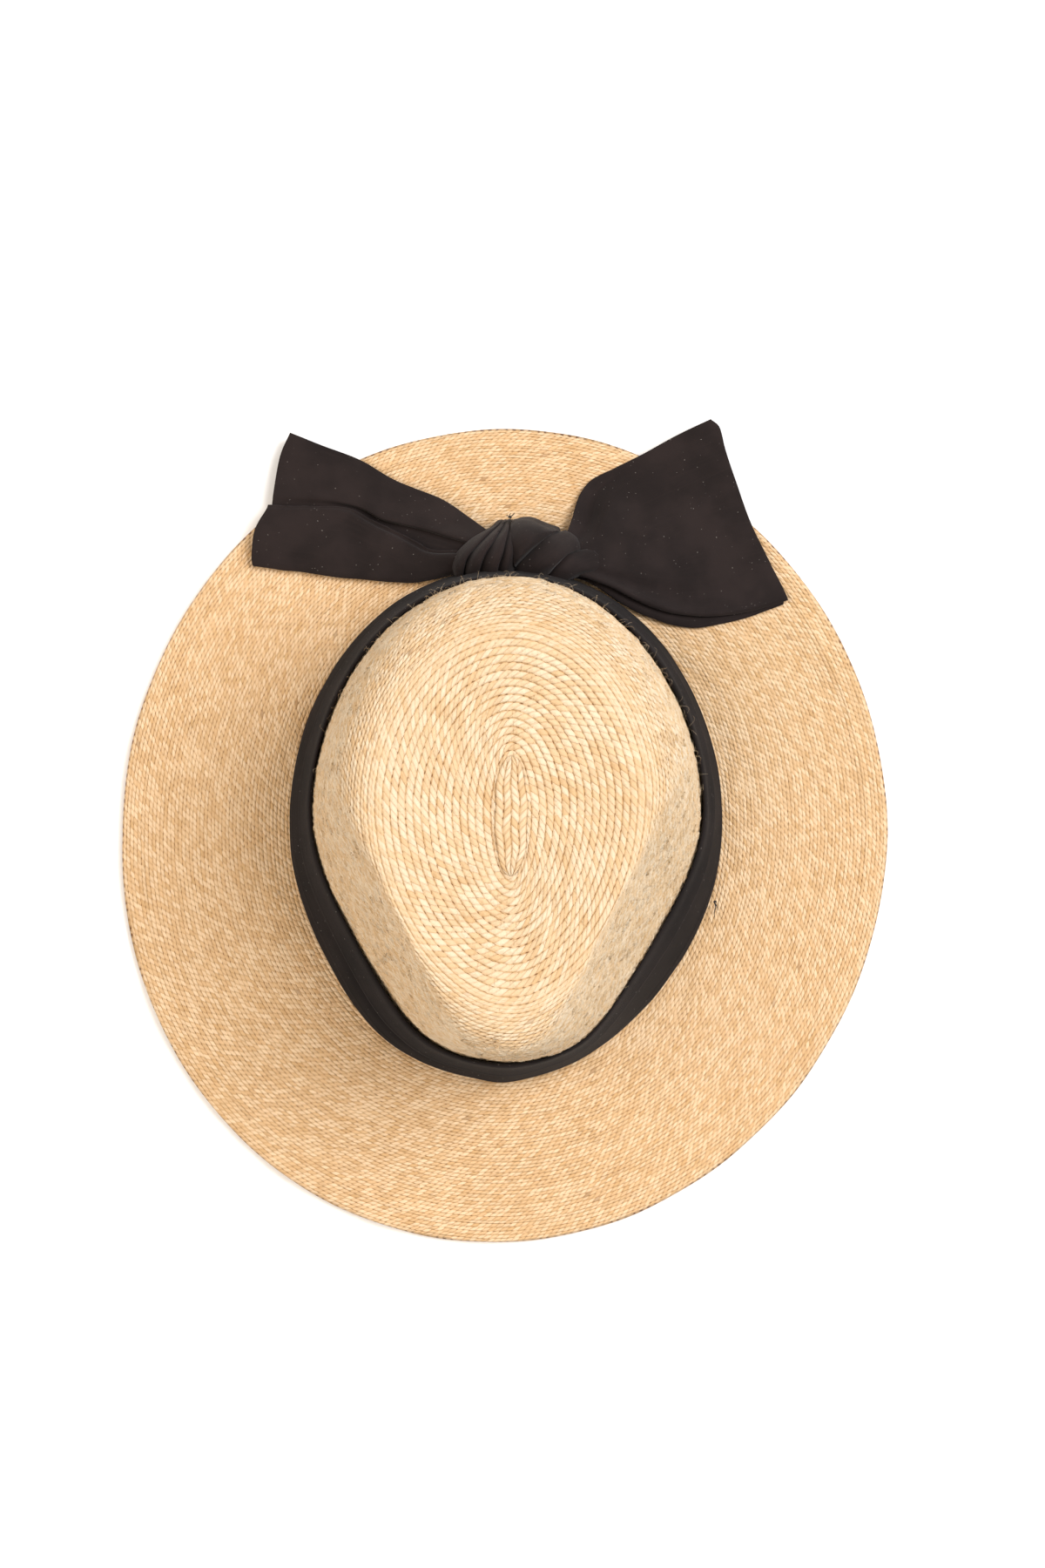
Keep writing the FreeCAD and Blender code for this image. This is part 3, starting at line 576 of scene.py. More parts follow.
def cloth_shell(name, grid, thickness, wrap=False):
    """A thin closed sheet round a grid of points, with its size in metres as a UV map."""
    normal = grid_normals(grid, wrap)
    rows, columns = grid.shape[:2]
    rings = np.concatenate([grid + normal * thickness / 2, (grid - normal * thickness / 2)[::-1]])
    quads, row_of, column_of = grid_quads(2 * rows, columns, True, wrap)
    if not wrap:
        quads = np.concatenate([quads, end_quads(rows, columns)])
    u = distances(grid[rows // 2])
    v = distances(grid[:, columns // 2])
    v = np.concatenate([v, v[::-1]])
    uv = np.stack([u[quads % columns], v[quads // columns]], axis=2)
    return mesh_from_quads(name, rings.reshape(-1, 3), quads, {"cloth": uv.reshape(-1, 2)})


def tube(line, radii, sides):
    """Points and quads of a thin closed tube along a line, with small flat ends."""
    line = np.asarray(line, float)
    travel = np.gradient(line, axis=0)
    travel = travel / np.maximum(np.linalg.norm(travel, axis=1, keepdims=True), 1e-12)
    helper = np.array([0.0, 0.0, 1.0]) if abs(travel[0, 2]) < 0.9 else np.array([1.0, 0.0, 0.0])
    across = np.cross(travel, helper)
    across = across / np.maximum(np.linalg.norm(across, axis=1, keepdims=True), 1e-12)
    up = np.cross(across, travel)
    angle = round_angles(sides)
    radii = np.broadcast_to(np.asarray(radii, float), (len(line), sides))[..., None]
    points = line[:, None] + radii * (across[:, None] * np.cos(angle)[None, :, None]
                                      + up[:, None] * np.sin(angle)[None, :, None])
    quads, _, _ = grid_quads(len(line), sides, False, True)
    return points.reshape(-1, 3), quads


def joined_tubes(name, tubes, sides):
    """One object from many tubes, each closed by a fan at its ends."""
    points = []
    faces = []
    count = 0
    for part, quads in tubes:
        points.append(part)
        faces.extend((quads + count).tolist())
        faces.append([count + index for index in range(sides)])
        faces.append([count + len(part) - 1 - index for index in range(sides)])
        count += len(part)
    mesh = bpy.data.meshes.new(name)
    mesh.from_pydata(np.concatenate(points).tolist(), [], faces)
    mesh.validate()
    mesh.shade_smooth()
    return add_object(name, mesh)


# ---------------------------------------------------------------- tails of the scarf
# Each line runs from inside the knot to the cut end: (across, along, height over the brim), and the
# lines follow each other round the edge of a fold.
LEFT_LINES = [
    [(-7, 127, 10), (-15, 132.5, 6.5), (-27, 140.4, 3), (-46, 147.9, 1.6), (-60, 156.2, 1.4),
     (-76, 162.3, 1.4), (-89.5, 167.8, 1.6)],
    [(-9, 124, 13), (-18, 129, 9), (-30, 134.5, 5), (-47, 142.5, 3), (-62, 149, 2.6), (-78, 154.5, 2.4),
     (-93.8, 157.5, 2)],
    [(-12, 121.5, 14), (-22, 124.8, 11), (-30, 127.2, 8), (-41, 130, 6.4), (-50.6, 132.4, 5.6),
     (-61.6, 137.5, 4.2), (-78, 141, 3), (-96.5, 142, 2.2)],
    [(-12, 120.5, 11), (-22, 123.4, 8.5), (-30, 125.6, 5.5), (-41, 128.4, 3.5), (-50.6, 131, 2.6),
     (-61.6, 136, 2), (-78, 138, 1.6), (-97, 137.5, 1.5)],
    [(-12, 114.5, 12), (-22, 116, 9), (-31, 117.5, 6.5), (-41, 120.5, 4.5), (-51, 125, 3.2),
     (-62, 129, 2), (-78, 129, 1.4), (-98, 128, 1.2)],
    [(-14, 109.5, 6), (-22, 110, 4), (-36, 108.5, 1.6), (-46, 108.5, 1.2), (-65, 110, 1),
     (-85, 112.6, 1), (-103.5, 115.4, 1)],
    [(-14, 108.5, 8), (-22, 108.6, 6), (-36, 105.5, 3), (-46, 105.7, 2.4), (-65, 107.1, 2.2),
     (-85, 109.8, 2.2), (-104.8, 112.6, 2.2)],
    [(-14, 110, 11), (-22, 110, 9.5), (-36, 107, 5.5), (-46, 107.4, 4.6), (-65, 109.2, 4.2),
     (-85, 112.2, 4), (-105.5, 116, 3.6)],
    [(-13, 112.5, 14), (-22, 113, 11.5), (-35, 111.5, 8), (-46, 114, 7), (-65, 121, 6.4),
     (-85, 124, 5.6), (-104.3, 127, 4.6)],
    [(-13, 116, 16), (-21.5, 116.3, 13.5), (-32, 116.7, 11), (-39.5, 120.6, 9.8), (-49, 125.3, 9),
     (-58.4, 130, 8.2), (-66.3, 134.2, 7), (-76, 135.4, 6), (-99.5, 135.6, 4.6)],
    [(-12.6, 117, 14.4), (-21, 117.3, 11.9), (-31.2, 117.8, 9.4), (-38.7, 121.8, 8.2),
     (-48.2, 126.5, 7.4), (-57.6, 131.2, 6.8), (-65.6, 135.2, 6.2), (-76, 136.3, 5.4), (-99, 136.6, 4)],
    [(-12.2, 118, 14.6), (-20.4, 118.4, 12.2), (-30.4, 119, 9.8), (-37.9, 123, 8.5), (-47.4, 127.7, 7.7),
     (-57, 132.2, 6.8), (-65.2, 136, 5.7), (-76, 137.1, 4.8), (-98.6, 137.7, 3.4)],
    [(-12.6, 117, 12.2), (-21, 117.4, 9.8), (-31, 118, 7.4), (-38.6, 121.8, 6), (-48, 126.4, 5.2),
     (-57.6, 131, 4.4), (-65.8, 134.8, 3.9), (-76, 136, 3.4), (-98.5, 136.6, 2.5)],
]
RIGHT_LINES = [
    [(14, 121, 14), (24, 124.4, 11), (27.5, 131, 7), (29.5, 138, 4), (32, 143.5, 2.6),
     (36.5, 148.4, 1.8), (45.3, 152.8, 1.6), (56.6, 158.4, 1.6), (71.2, 166.5, 1.8), (85.6, 173.4, 2.2)],
    [(15, 119.5, 14.5), (26, 121.5, 10), (31, 126, 6), (34.5, 133, 3.6), (36.5, 140, 2.2),
     (42, 146.5, 1.6), (52, 152, 1.8), (62, 156.5, 2), (76, 163.5, 2), (89.4, 169.8, 2.2)],
    [(16, 118.5, 15), (27, 119.5, 12), (36, 123.5, 10), (41, 130, 9.5), (44.5, 137, 7.6), (50, 143, 5.4),
     (60, 148, 4), (72, 152.5, 3.2), (91.8, 160.5, 2.4)],
    [(17, 117.5, 15), (28, 118, 12.5), (40, 120, 9.5), (52, 126, 7.4), (66, 133, 5.4), (80, 140, 4),
     (96, 147.8, 2.4)],
    [(18, 116, 15), (29, 116.3, 12.5), (42, 116, 9.5), (56, 118, 7), (70, 122, 5.4), (86, 127.5, 3.8),
     (102.4, 130, 2.4)],
    [(18.5, 114.5, 15), (30, 114.3, 12.5), (44, 111.5, 9), (57, 109, 6.3), (70, 107.5, 4.6),
     (88, 110, 4), (109.6, 115, 2.6)],
    [(19, 113, 14.5), (31, 111.8, 11.5), (45, 107.2, 7.4), (57, 102.8, 4.4), (68, 100.2, 3.2),
     (82, 99.5, 3.8), (98, 101, 3.6), (114.5, 105.5, 2.6)],
    [(19.4, 111.8, 15.5), (32.4, 109.2, 12), (45.3, 104.4, 9), (56.6, 98.9, 7.6), (68.8, 94.6, 7),
     (81, 93, 6.8), (93, 93.8, 6.2), (105, 95.8, 5), (117.3, 99.6, 3.2)],
    [(19.4, 110.6, 13.5), (32.4, 108, 10.5), (45.3, 103, 7.8), (56.6, 97.2, 6.4), (68.8, 92.9, 5.8),
     (81, 91.3, 5.6), (93, 92.1, 5), (105, 94.2, 3.8), (117.7, 98.2, 2.6)],
    [(19.4, 112, 11), (32.4, 110.5, 8), (45.3, 105.4, 5.4), (56.6, 99.4, 4), (68.8, 95, 3.6),
     (81, 93.6, 3.4), (93, 94.3, 3), (105, 96, 2.6), (117, 99.4, 1.8)],
    [(19.4, 110, 9.5), (34, 107, 6.5), (48.6, 98.6, 4.4), (56.6, 94.6, 3.9), (68.8, 90, 3.6),
     (78.5, 88.6, 3.5), (89, 90.1, 3.3), (101, 92.8, 2.8), (116, 97.6, 1.9)],
    [(19.4, 109.4, 8), (34, 106, 5), (48.6, 96.9, 3), (56.6, 92.9, 2.5), (68.8, 88.2, 2.2),
     (78.5, 86.8, 2.2), (89, 88.4, 2.1), (101, 91.2, 1.8), (115.8, 96.6, 1.4)],
    [(19.4, 113, 6), (34, 110, 2.6), (48.6, 102, 1), (56.6, 99, 0.9), (68.8, 96, 0.9), (78.5, 95.5, 0.9),
     (89, 97, 0.9), (101, 99.5, 0.9), (113.5, 103.5, 0.9)],
]


def cloth_from_lines(name, lines, above_brim, along, steps, seed, crinkle=0.22 * MM,
                     wavelength=14 * MM):
    """A cloth shell across lines of points, with soft crinkles."""
    grid = loft([from_plan(line, above_brim) for line in lines], along, steps)
    grid = crinkled(grid, crinkle, wavelength, seed)
    return cloth_shell(name, grid, CLOTH_THICK)


left_tail = cloth_from_lines("left_tail_cloth", LEFT_LINES, True, 130, 9, 21)
right_tail = cloth_from_lines("right_tail_cloth", RIGHT_LINES, True, 130, 9, 22)

# ---------------------------------------------------------------- knot
# Each line runs over the knot from the crown side to the rim side, in mm, heights from the ground.
LEFT_WRAP_LINES = [
    [(-21.5, 108, 16), (-22.8, 112, 21), (-21, 116.5, 25), (-16.8, 121, 26), (-10.4, 125.5, 24),
     (-5, 129, 19), (-3, 131, 13.5)],
    [(-20, 107, 25), (-20.2, 111.5, 31), (-18, 116.5, 33.5), (-13, 121.8, 32.5), (-7.4, 126.6, 28.5),
     (-3, 129.8, 21), (-1.5, 131.4, 13.5)],
    [(-17.6, 107, 29), (-17.4, 111.7, 34), (-15.3, 116.8, 35.8), (-10.9, 122, 34.2), (-5.8, 126.9, 29.4),
     (-2.2, 130, 21.6), (-1.1, 131.4, 13.5)],
    [(-17.3, 107.5, 26.4), (-16.9, 112, 31), (-14.7, 117, 32.6), (-10.2, 122, 31.2), (-5.2, 126.8, 26.8),
     (-2, 129.8, 20.3), (-1, 131, 13.5)],
    [(-14.5, 107, 31.4), (-14, 111.5, 37), (-11.8, 116.7, 39), (-8, 122, 37), (-3.8, 127, 31.4),
     (-1, 130.2, 22.7), (0, 131.4, 13.5)],
    [(-11.3, 107.2, 33.8), (-10.7, 111.8, 38.8), (-8.8, 116.9, 40.5), (-5.7, 122, 38.4),
     (-2.4, 127.1, 32.4), (-0.2, 130.2, 23), (0.5, 131.4, 13.5)],
    [(-10.8, 107.5, 31), (-10.1, 112, 35.6), (-8.2, 117, 37.2), (-5.1, 122, 35.2), (-1.9, 127, 29.8),
     (0, 130, 21.6), (0.7, 131.2, 13.5)],
    [(-6.7, 107, 34.8), (-6.2, 111.5, 40), (-4.7, 116.5, 42), (-2.2, 122, 40), (-0.1, 127.3, 33.4),
     (1.3, 130.5, 23.2), (1.8, 131.6, 13.5)],
    [(-3.7, 107.3, 35.6), (-3, 112, 40.4), (-1.6, 117, 42), (-0.2, 122, 40), (1.2, 127, 33.4),
     (2, 130.2, 23), (2.3, 131.4, 13.5)],
    [(-3.3, 107.6, 33), (-2.6, 112.2, 37.4), (-1.2, 117.2, 38.8), (0.2, 122.2, 37), (1.5, 127, 30.8),
     (2.3, 130, 21.8), (2.5, 131.2, 13.5)],
    [(0, 107.2, 35), (0.8, 111.8, 39.6), (1.9, 117, 41), (2.3, 122, 39), (2.8, 127, 32.6),
     (3, 130.3, 22.8), (3, 131.4, 13.5)],
    [(3.4, 108.5, 29), (4.4, 112.5, 33), (4.6, 117.5, 34.5), (4.2, 122.5, 33), (4, 127, 28),
     (3.8, 129.8, 20.5), (3.6, 131, 13.5)],
]
# These lines run from the middle of the knot to its right end.
UPPER_WRAP_LINES = [
    [(3.6, 131.5, 13), (8, 132.3, 13), (14, 131.6, 13), (22, 128, 13)],
    [(2.6, 130.4, 22), (7, 131.9, 24), (12.5, 131, 23.5), (18, 128.8, 21.5), (23, 126.6, 18)],
    [(2.4, 127.5, 32), (7, 129.2, 34.4), (12.5, 128.9, 34), (17.5, 127.8, 30.8), (22.5, 126.6, 25)],
    [(2.9, 121.5, 38), (7, 123.8, 40.6), (12, 125.6, 39.4), (17, 126.5, 34.8), (22, 126.7, 27.5)],
    [(3.4, 115, 38.5), (6.6, 118.2, 41.8), (11, 122, 41), (16, 125, 36.4), (21.8, 127, 28)],
    [(3.7, 112.5, 37), (6.4, 115.8, 40.4), (11.2, 120.1, 40), (16.4, 123.9, 35.4), (22, 127, 27.6)],
    [(4.2, 111.8, 33), (7.2, 114.9, 35.6), (12.3, 119.6, 35.6), (17.4, 123.6, 31.6), (22.6, 126.6, 25)],
]
LOWER_WRAP_LINES = [
    [(3.2, 111, 29), (6.4, 116.5, 33), (12.4, 121.8, 34), (18.6, 125.2, 30.5), (24.5, 126.8, 22),
     (27, 126, 13.5)],
    [(4.5, 109, 34), (8.2, 113.8, 38.2), (14, 119.2, 38.4), (20, 123.4, 34), (25.8, 125.6, 25.2),
     (28.5, 125.4, 14)],
    [(8.4, 108.2, 36), (12.4, 112.6, 40.4), (17.6, 117.4, 40.4), (23.4, 121, 35.4), (28.4, 123.4, 26),
     (30.6, 123.6, 14)],
    [(13, 108, 36), (16.6, 112.4, 40.4), (21.2, 116.4, 39.4), (26.2, 119.4, 33.6), (30.4, 121.4, 24),
     (32, 121.6, 14)],
    [(16.6, 108.4, 34.8), (19.4, 112.4, 38.2), (23.4, 116, 36.8), (27.8, 118.6, 31), (31.6, 120, 22),
     (33, 120, 13.5)],
    [(18.2, 109, 33), (20.8, 112.8, 36), (24.4, 116.2, 34.6), (28.6, 118.4, 29), (32.2, 119.4, 20.8),
     (33.8, 119, 13.5)],
    [(18.8, 110, 29.6), (21.6, 113.4, 32), (25.2, 116.6, 30.6), (29.2, 118.6, 25.8), (32.6, 119.2, 19.2),
     (34, 118.8, 13.5)],
]
PINCH_LINES = [
    [(17.4, 110, 29), (21.6, 113.6, 31.6), (25.8, 116.6, 30.2), (30.6, 118.4, 25.6),
     (36.5, 119.2, 20.5)],
    [(19, 108.2, 31), (23, 111.8, 33.6), (27, 114.6, 32), (31.5, 116.8, 27.6), (37.4, 118, 22)],
    [(22, 107.4, 31), (26, 110.4, 32.6), (30, 112.8, 30.6), (34, 114.8, 26.6), (39.5, 116, 21)],
    [(25.6, 106.6, 28.6), (29.6, 108.8, 28.8), (33.8, 110.4, 27), (38, 112, 23.4), (43, 113, 18.4)],
    [(27, 106.4, 24), (31, 108, 23.6), (35, 109.4, 22.4), (39, 110.8, 19.6), (44, 111.6, 16.4)],
]
left_wrap = cloth_from_lines("knot_left_cloth", LEFT_WRAP_LINES, False, 60, 7, 31, 0.2 * MM, 9 * MM)
upper_wrap = cloth_from_lines("knot_upper_cloth", UPPER_WRAP_LINES, False, 60, 7, 32, 0.2 * MM, 9 * MM)
lower_wrap = cloth_from_lines("knot_lower_cloth", LOWER_WRAP_LINES, False, 60, 7, 33, 0.2 * MM, 9 * MM)
pinch_fold = cloth_from_lines("knot_pinch_cloth", PINCH_LINES, False, 50, 7, 34, 0.15 * MM, 8 * MM)

# ---------------------------------------------------------------- band of the scarf
BAND_COLUMNS = 720
BAND_THICK = 0.5 * MM
BAND_CRINKLE = 0.10 * MM
# the profile points, by height and offset, in the crease between the pleats, which is deeper on
# the loose side
CREASE = ((37.2, 3.2), (34.0, 3.3))
CREASE_DEPTH = 1.6


def band_cloth():
    """The folded strip round the crown: inner layer, two soft pleats outside, both edges turned in."""
    angles = round_angles(BAND_COLUMNS)
    right = np.clip(1.5 * np.cos(angles), 0, 1)
    left = np.clip(-1.5 * np.cos(angles), 0, 1)
    front = swell(angles, 0.75 * TURN, 0.12)
    back = swell(angles, 0.25 * TURN, 0.42)
    wave = np.sin(3 * angles + 0.7) + 0.6 * np.sin(5 * angles + 2.1)
    tight_side = swell(angles, 0.842 * TURN, 0.36)
    loose_side = swell(angles, 0.652 * TURN, 0.34)
    reach = (1 + 0.05 * np.cos(angles)) * (1 - 0.25 * back) + 0.22 * front
    reach = reach - 0.46 * tight_side + 0.38 * loose_side
    # (height, offset from the wall, how much higher on the right, how much higher on the left, waving)
    profile = [(30.0, 0.8, 0, 0, 0), (40.0, 0.8, 0, 0, 0), (47.5, 1.0, 0, 0, 0.3), (49.8, 1.5, 0, 0, 0.4),
               (48.6, 2.3, 0, 0, 0.4), (44.0, 2.9, 1.0, 0, 0.5), (38.6, 4.1, 3.0, 0.5, 0.7),
               (36.8, 4.6, 3.0, 0.5, 0.7), (37.2, 3.2, 3.0, 0.5, 0.7), (34.0, 3.3, 3.0, 0, 0.5),
               (29.0, 4.4, 1.5, 1.5, 0.8), (24.6, 5.5, 0, 2.4, 0.9), (23.0, 5.9, 0, 2.4, 0.9),
               (23.4, 4.5, 0, 2.4, 0.9), (20.0, 4.8, 0, 1.0, 0.5), (17.0, 5.3, 0, 0, 0.3),
               (15.2, 5.0, 0, 0, 0.2), (14.8, 3.8, 0, 0, 0.2), (17.0, 2.5, 0, 0, 0.2),
               (27.0, 1.6, 0, 0, 0)]
    lines = []
    for height, offset, more_right, more_left, waving in profile:
        level = height + more_right * right + more_left * left + waving * 0.6 * wave
        pocket = CREASE_DEPTH * loose_side if (height, offset) in CREASE else 0
        lines.append(wall_line(angles, level * MM, (offset * reach - pocket) * MM))
    grid = smooth_through(np.stack(lines), 4)
    grid = crinkled(grid, BAND_CRINKLE, 16 * MM, 41, True)
    return cloth_shell("scarf_band_cloth", grid, BAND_THICK, True)


band = band_cloth()

# ---------------------------------------------------------------- sweatband and its joint tape
TAPE_LINES = 12


def ribbed_tape(name, first, last, columns, low, high, offset, thickness):
    """A woven tape on the inside of the crown wall, with fine upright ribs."""
    angles = np.linspace(first, last, columns)
    lines = [wall_line(angles, height, offset) for height in np.linspace(low, high, TAPE_LINES)]
    grid = np.stack(lines)
    ribs = np.sin(TURN * distances(grid[0]) / RIB) * RIB_DEPTH
    edge = np.minimum(np.arange(TAPE_LINES), TAPE_LINES - 1 - np.arange(TAPE_LINES))[:, None] > 0
    grid = grid - grid_normals(grid, False) * (ribs[None, :] * edge)[..., None]
    return cloth_shell(name, grid, thickness)


sweatband = ribbed_tape("sweatband_cloth", 0.2517 * TURN, 1.2483 * TURN, 2200, SWEAT_LOW, SWEAT_HIGH,
                        SWEAT_OUT - 0.4 * MM, 0.6 * MM)
joint_tape = ribbed_tape("joint_tape_cloth", 0.2365 * TURN, 0.2635 * TURN, 90, TAPE_LOW, TAPE_HIGH,
                         SWEAT_OUT - SWEAT_THICK - 0.45 * MM, 0.5 * MM)


# ---------------------------------------------------------------- stitches and threads
HALF_STITCH = 1.4 * MM
THREAD_RADIUS = 0.28 * MM
THREAD_SIDES = 10
HEM_STITCH_INSET = 9.8 * MM


def even_along(line, count):
    """The starts, middles and ends of count evenly spaced stitches on a closed line."""
    closed = np.concatenate([line, line[:1]])
    middle = (np.arange(count) + 0.5) / count * distances(closed)[-1]
    return [at_distances(closed, middle + ahead) for ahead in (-HALF_STITCH, 0, HALF_STITCH)]


def stitch_row(name, line, count, lift):
    """Short two-ply thread stitches along a line; lift moves the middle of each one."""
    tubes = []
    turns = np.linspace(0, 1, 11)
    for start, middle, end in zip(*even_along(line, count)):
        arch = np.sin(math.pi * turns)[:, None] ** 0.5
        rise = (middle + np.array(lift) - (start + end) / 2) * arch
        places = start + (end - start) * turns[:, None] + rise
        ply = 1 + 0.16 * np.cos(2 * round_angles(THREAD_SIDES)[None, :] - 3 * TURN * turns[:, None])
        ends = np.clip(np.sin(math.pi * np.clip(turns, 0.04, 0.96)) * 2.2, 0.3, 1)[:, None]
        tubes.append(tube(places, THREAD_RADIUS * ply * ends, THREAD_SIDES))
    return joined_tubes(name, tubes, THREAD_SIDES)


oval = round_angles(720)
hem_stitch_line = np.stack([(RIM_X - HEM_STITCH_INSET) * np.cos(oval),
                            (RIM_Y - HEM_STITCH_INSET) * np.sin(oval), 0 * oval + 1.75 * MM], axis=1)
hem_stitches = stitch_row("hem_stitches_thread", hem_stitch_line, 96, (0, 0, -0.15 * MM))
sweat_stitches = stitch_row("sweatband_stitches_thread",
                            wall_line(oval, 15.0 * MM, SWEAT_OUT - SWEAT_THICK - 0.35 * MM), 72, (0, 0, 0))


def loose_thread(name, strands, centre, radius):
    """A tiny round knot with thin loose ends; each strand is a list of points in mm."""
    tubes = []
    for strand in strands:
        line = smooth_line(np.array(strand, float) * MM, 24)
        wide = radius * (1 - 0.45 * np.linspace(0, 1, 24) ** 2)[:, None]
        tubes.append(tube(line, np.repeat(wide, 6, axis=1), 6))
    turn = np.linspace(0, 2.2 * TURN, 40)
    coil = np.stack([np.cos(turn), np.sin(turn) * np.cos(0.8 * turn), np.sin(turn) * np.sin(0.8 * turn)],
                    axis=1)
    tubes.append(tube(np.array(centre) * MM + coil * 2.4 * radius, np.full((40, 6), radius), 6))
    return joined_tubes(name, tubes, 6)


knot_thread = loose_thread("knot_tack_thread", [
    [(2.0, 130.6, 25), (2.2, 131.6, 25.8), (2.4, 132.6, 26.6), (2.1, 133.6, 27.2), (2.6, 134.4, 27)],
    [(2.2, 131.4, 25.6), (1.0, 131.2, 25.4), (-0.4, 130.6, 25), (-1.6, 130.0, 24)],
    [(2.2, 131.4, 25.6), (3.4, 131.0, 25.6), (4.6, 130.2, 25.2)],
    [(2.2, 132.8, 26.6), (1.2, 133.4, 26.8), (0.6, 133.2, 26.9)],
    [(2.2, 132.8, 26.6), (3.4, 133.6, 27.0), (4.0, 134.4, 27.2)],
], (2.2, 132.6, 26.4), 0.22 * MM)
band_thread = loose_thread("band_tack_thread", [
    [(87.6, -27.6, 20.2), (88.0, -29.6, 20.6), (87.4, -31.8, 21.0), (87.6, -33.6, 20.6)],
    [(87.6, -27.6, 20.2), (88.6, -29.2, 19.0), (89.2, -31.0, 18.2)],
], (87.8, -27.4, 20.2), 0.22 * MM)


# ---------------------------------------------------------------- hem, first plait, stray fibres
def hem_ring(inset, height, columns):
    """A ring under the rim, inset from it, at a height."""
    angle = round_angles(columns)
    y = (RIM_Y - inset) * np.sin(angle)
    return np.stack([(RIM_X - inset) * np.cos(angle) + rim_lean(y), y, 0 * angle + height], axis=1)


HEM_ROWS = 3
HEM_STEPS = 6
HEM_INNER_STEPS = 2


def hem_skin():
    """The turned-under edge of the brim: three rows of braid that wrap round the wire."""
    columns = 1500
    # (inset from the rim, height, 0) in mm
    below = [(0.7, 2.9, 0), (0.15, 1.9, 0), (0.5, 0.8, 0), (1.6, 0.42, 0), (4.5, 0.4, 0),
             (8.0, 0.45, 0), (9.0, 0.9, 0)]
    above = [(1.5, 2.3, 0), (1.5, 2.2, 0), (1.7, 2.15, 0), (2.5, 2.1, 0), (5.0, 2.1, 0),
             (8.0, 2.1, 0), (8.8, 1.9, 0)]
    outer = smooth_line(np.array(below), HEM_ROWS * HEM_STEPS + 1) * MM
    inner = smooth_line(np.array(above), HEM_ROWS * HEM_INNER_STEPS + 1) * MM
    outer_rings = np.stack([hem_ring(inset, height, columns) for inset, height, _ in outer])
    inner_rings = np.stack([hem_ring(inset, height, columns) for inset, height, _ in inner])
    return braided_skin("straw_hem", outer_rings, inner_rings, HEM_ROWS, HEM_STEPS, HEM_INNER_STEPS,
                        BRIM_STITCH, KNIT_LIFT * 0.7, np.ones(HEM_ROWS), 5)


hem = hem_skin()

PLAIT_PITCH = 3.1 * MM
PLAIT_LINES = 4
STEPS_PER_LINE = 9
PLAIT_HALF_WIDTH = 6.3 * MM
PLAIT_HALF_LENGTH = 23.4 * MM
plait_middle = (plait_low + plait_high) / 2


def first_plait():
    """The braid the crown starts from: four lines of strands that slant to and fro."""
    long_steps = 240
    wide_steps = PLAIT_LINES * STEPS_PER_LINE + 1
    t = np.linspace(-1, 1, long_steps)
    half = PLAIT_HALF_WIDTH * np.maximum(1 - np.abs(t) ** 2.6, 0.0008) ** 0.5
    across = np.linspace(-1, 1, wide_steps)
    line_place = (across + 1) / 2 * PLAIT_LINES
    line_number = np.minimum(np.floor(line_place), PLAIT_LINES - 1)
    v = line_place - line_number
    slant = np.where(line_number % 2 == 0, 1.0, -1.0)
    along = t * PLAIT_HALF_LENGTH / PLAIT_PITCH
    w = along[None, :] + 0.5 * (line_number[:, None] // 2)
    w = w + 0.9 * slant[:, None] * (v[:, None] - 0.5)
    strand = 1 - np.abs(2 * fraction(w) - 1) ** 2.6
    row = 1 - np.abs(2 * v[:, None] - 1) ** 2.6
    relief = np.clip(row, 0, 1) * (0.45 + 0.55 * strand)
    edge = 1 - np.abs(across)[:, None] ** 8
    sink = 1 - np.abs(t)[None, :] ** 14
    sway = 0.25 * MM * np.sin(9 * t)[None, :]
    x = plait_middle.x + across[:, None] * half[None, :] + sway
    y = plait_middle.y + t[None, :] * PLAIT_HALF_LENGTH + 0 * x
    top = plait_low.z - 0.1 * MM + (0.35 + 0.55 * relief * sink) * 1.5 * MM * (0.35 + 0.65 * edge)
    upper = np.stack([x, y, top], axis=2)
    lower = np.stack([x, y, 0 * x + plait_low.z - 0.45 * MM], axis=2)
    rings = np.concatenate([upper, lower[::-1]])
    quads, _, _ = grid_quads(2 * wide_steps, long_steps, True, False)
    quads = np.concatenate([quads, end_quads(wide_steps, long_steps)])
    row_of, column_of = quads // long_steps, quads % long_steps
    level = np.minimum(row_of, 2 * wide_steps - 1 - row_of)
    line_of = np.minimum(level.min(axis=1) // STEPS_PER_LINE, PLAIT_LINES - 1)
    place = level / STEPS_PER_LINE
    turn_back = np.where(line_of % 2 == 0, -0.15, -1.95)[:, None] * (place - line_of[:, None] - 0.5)
    u = along[column_of] + 0.5 * (line_of // 2)[:, None] + turn_back
    uv = np.stack([u, place + FIRST_PLAIT_ROW], axis=2)
    return mesh_from_quads("straw_plait", rings.reshape(-1, 3), quads, {"braid": uv.reshape(-1, 2)})


plait = first_plait()


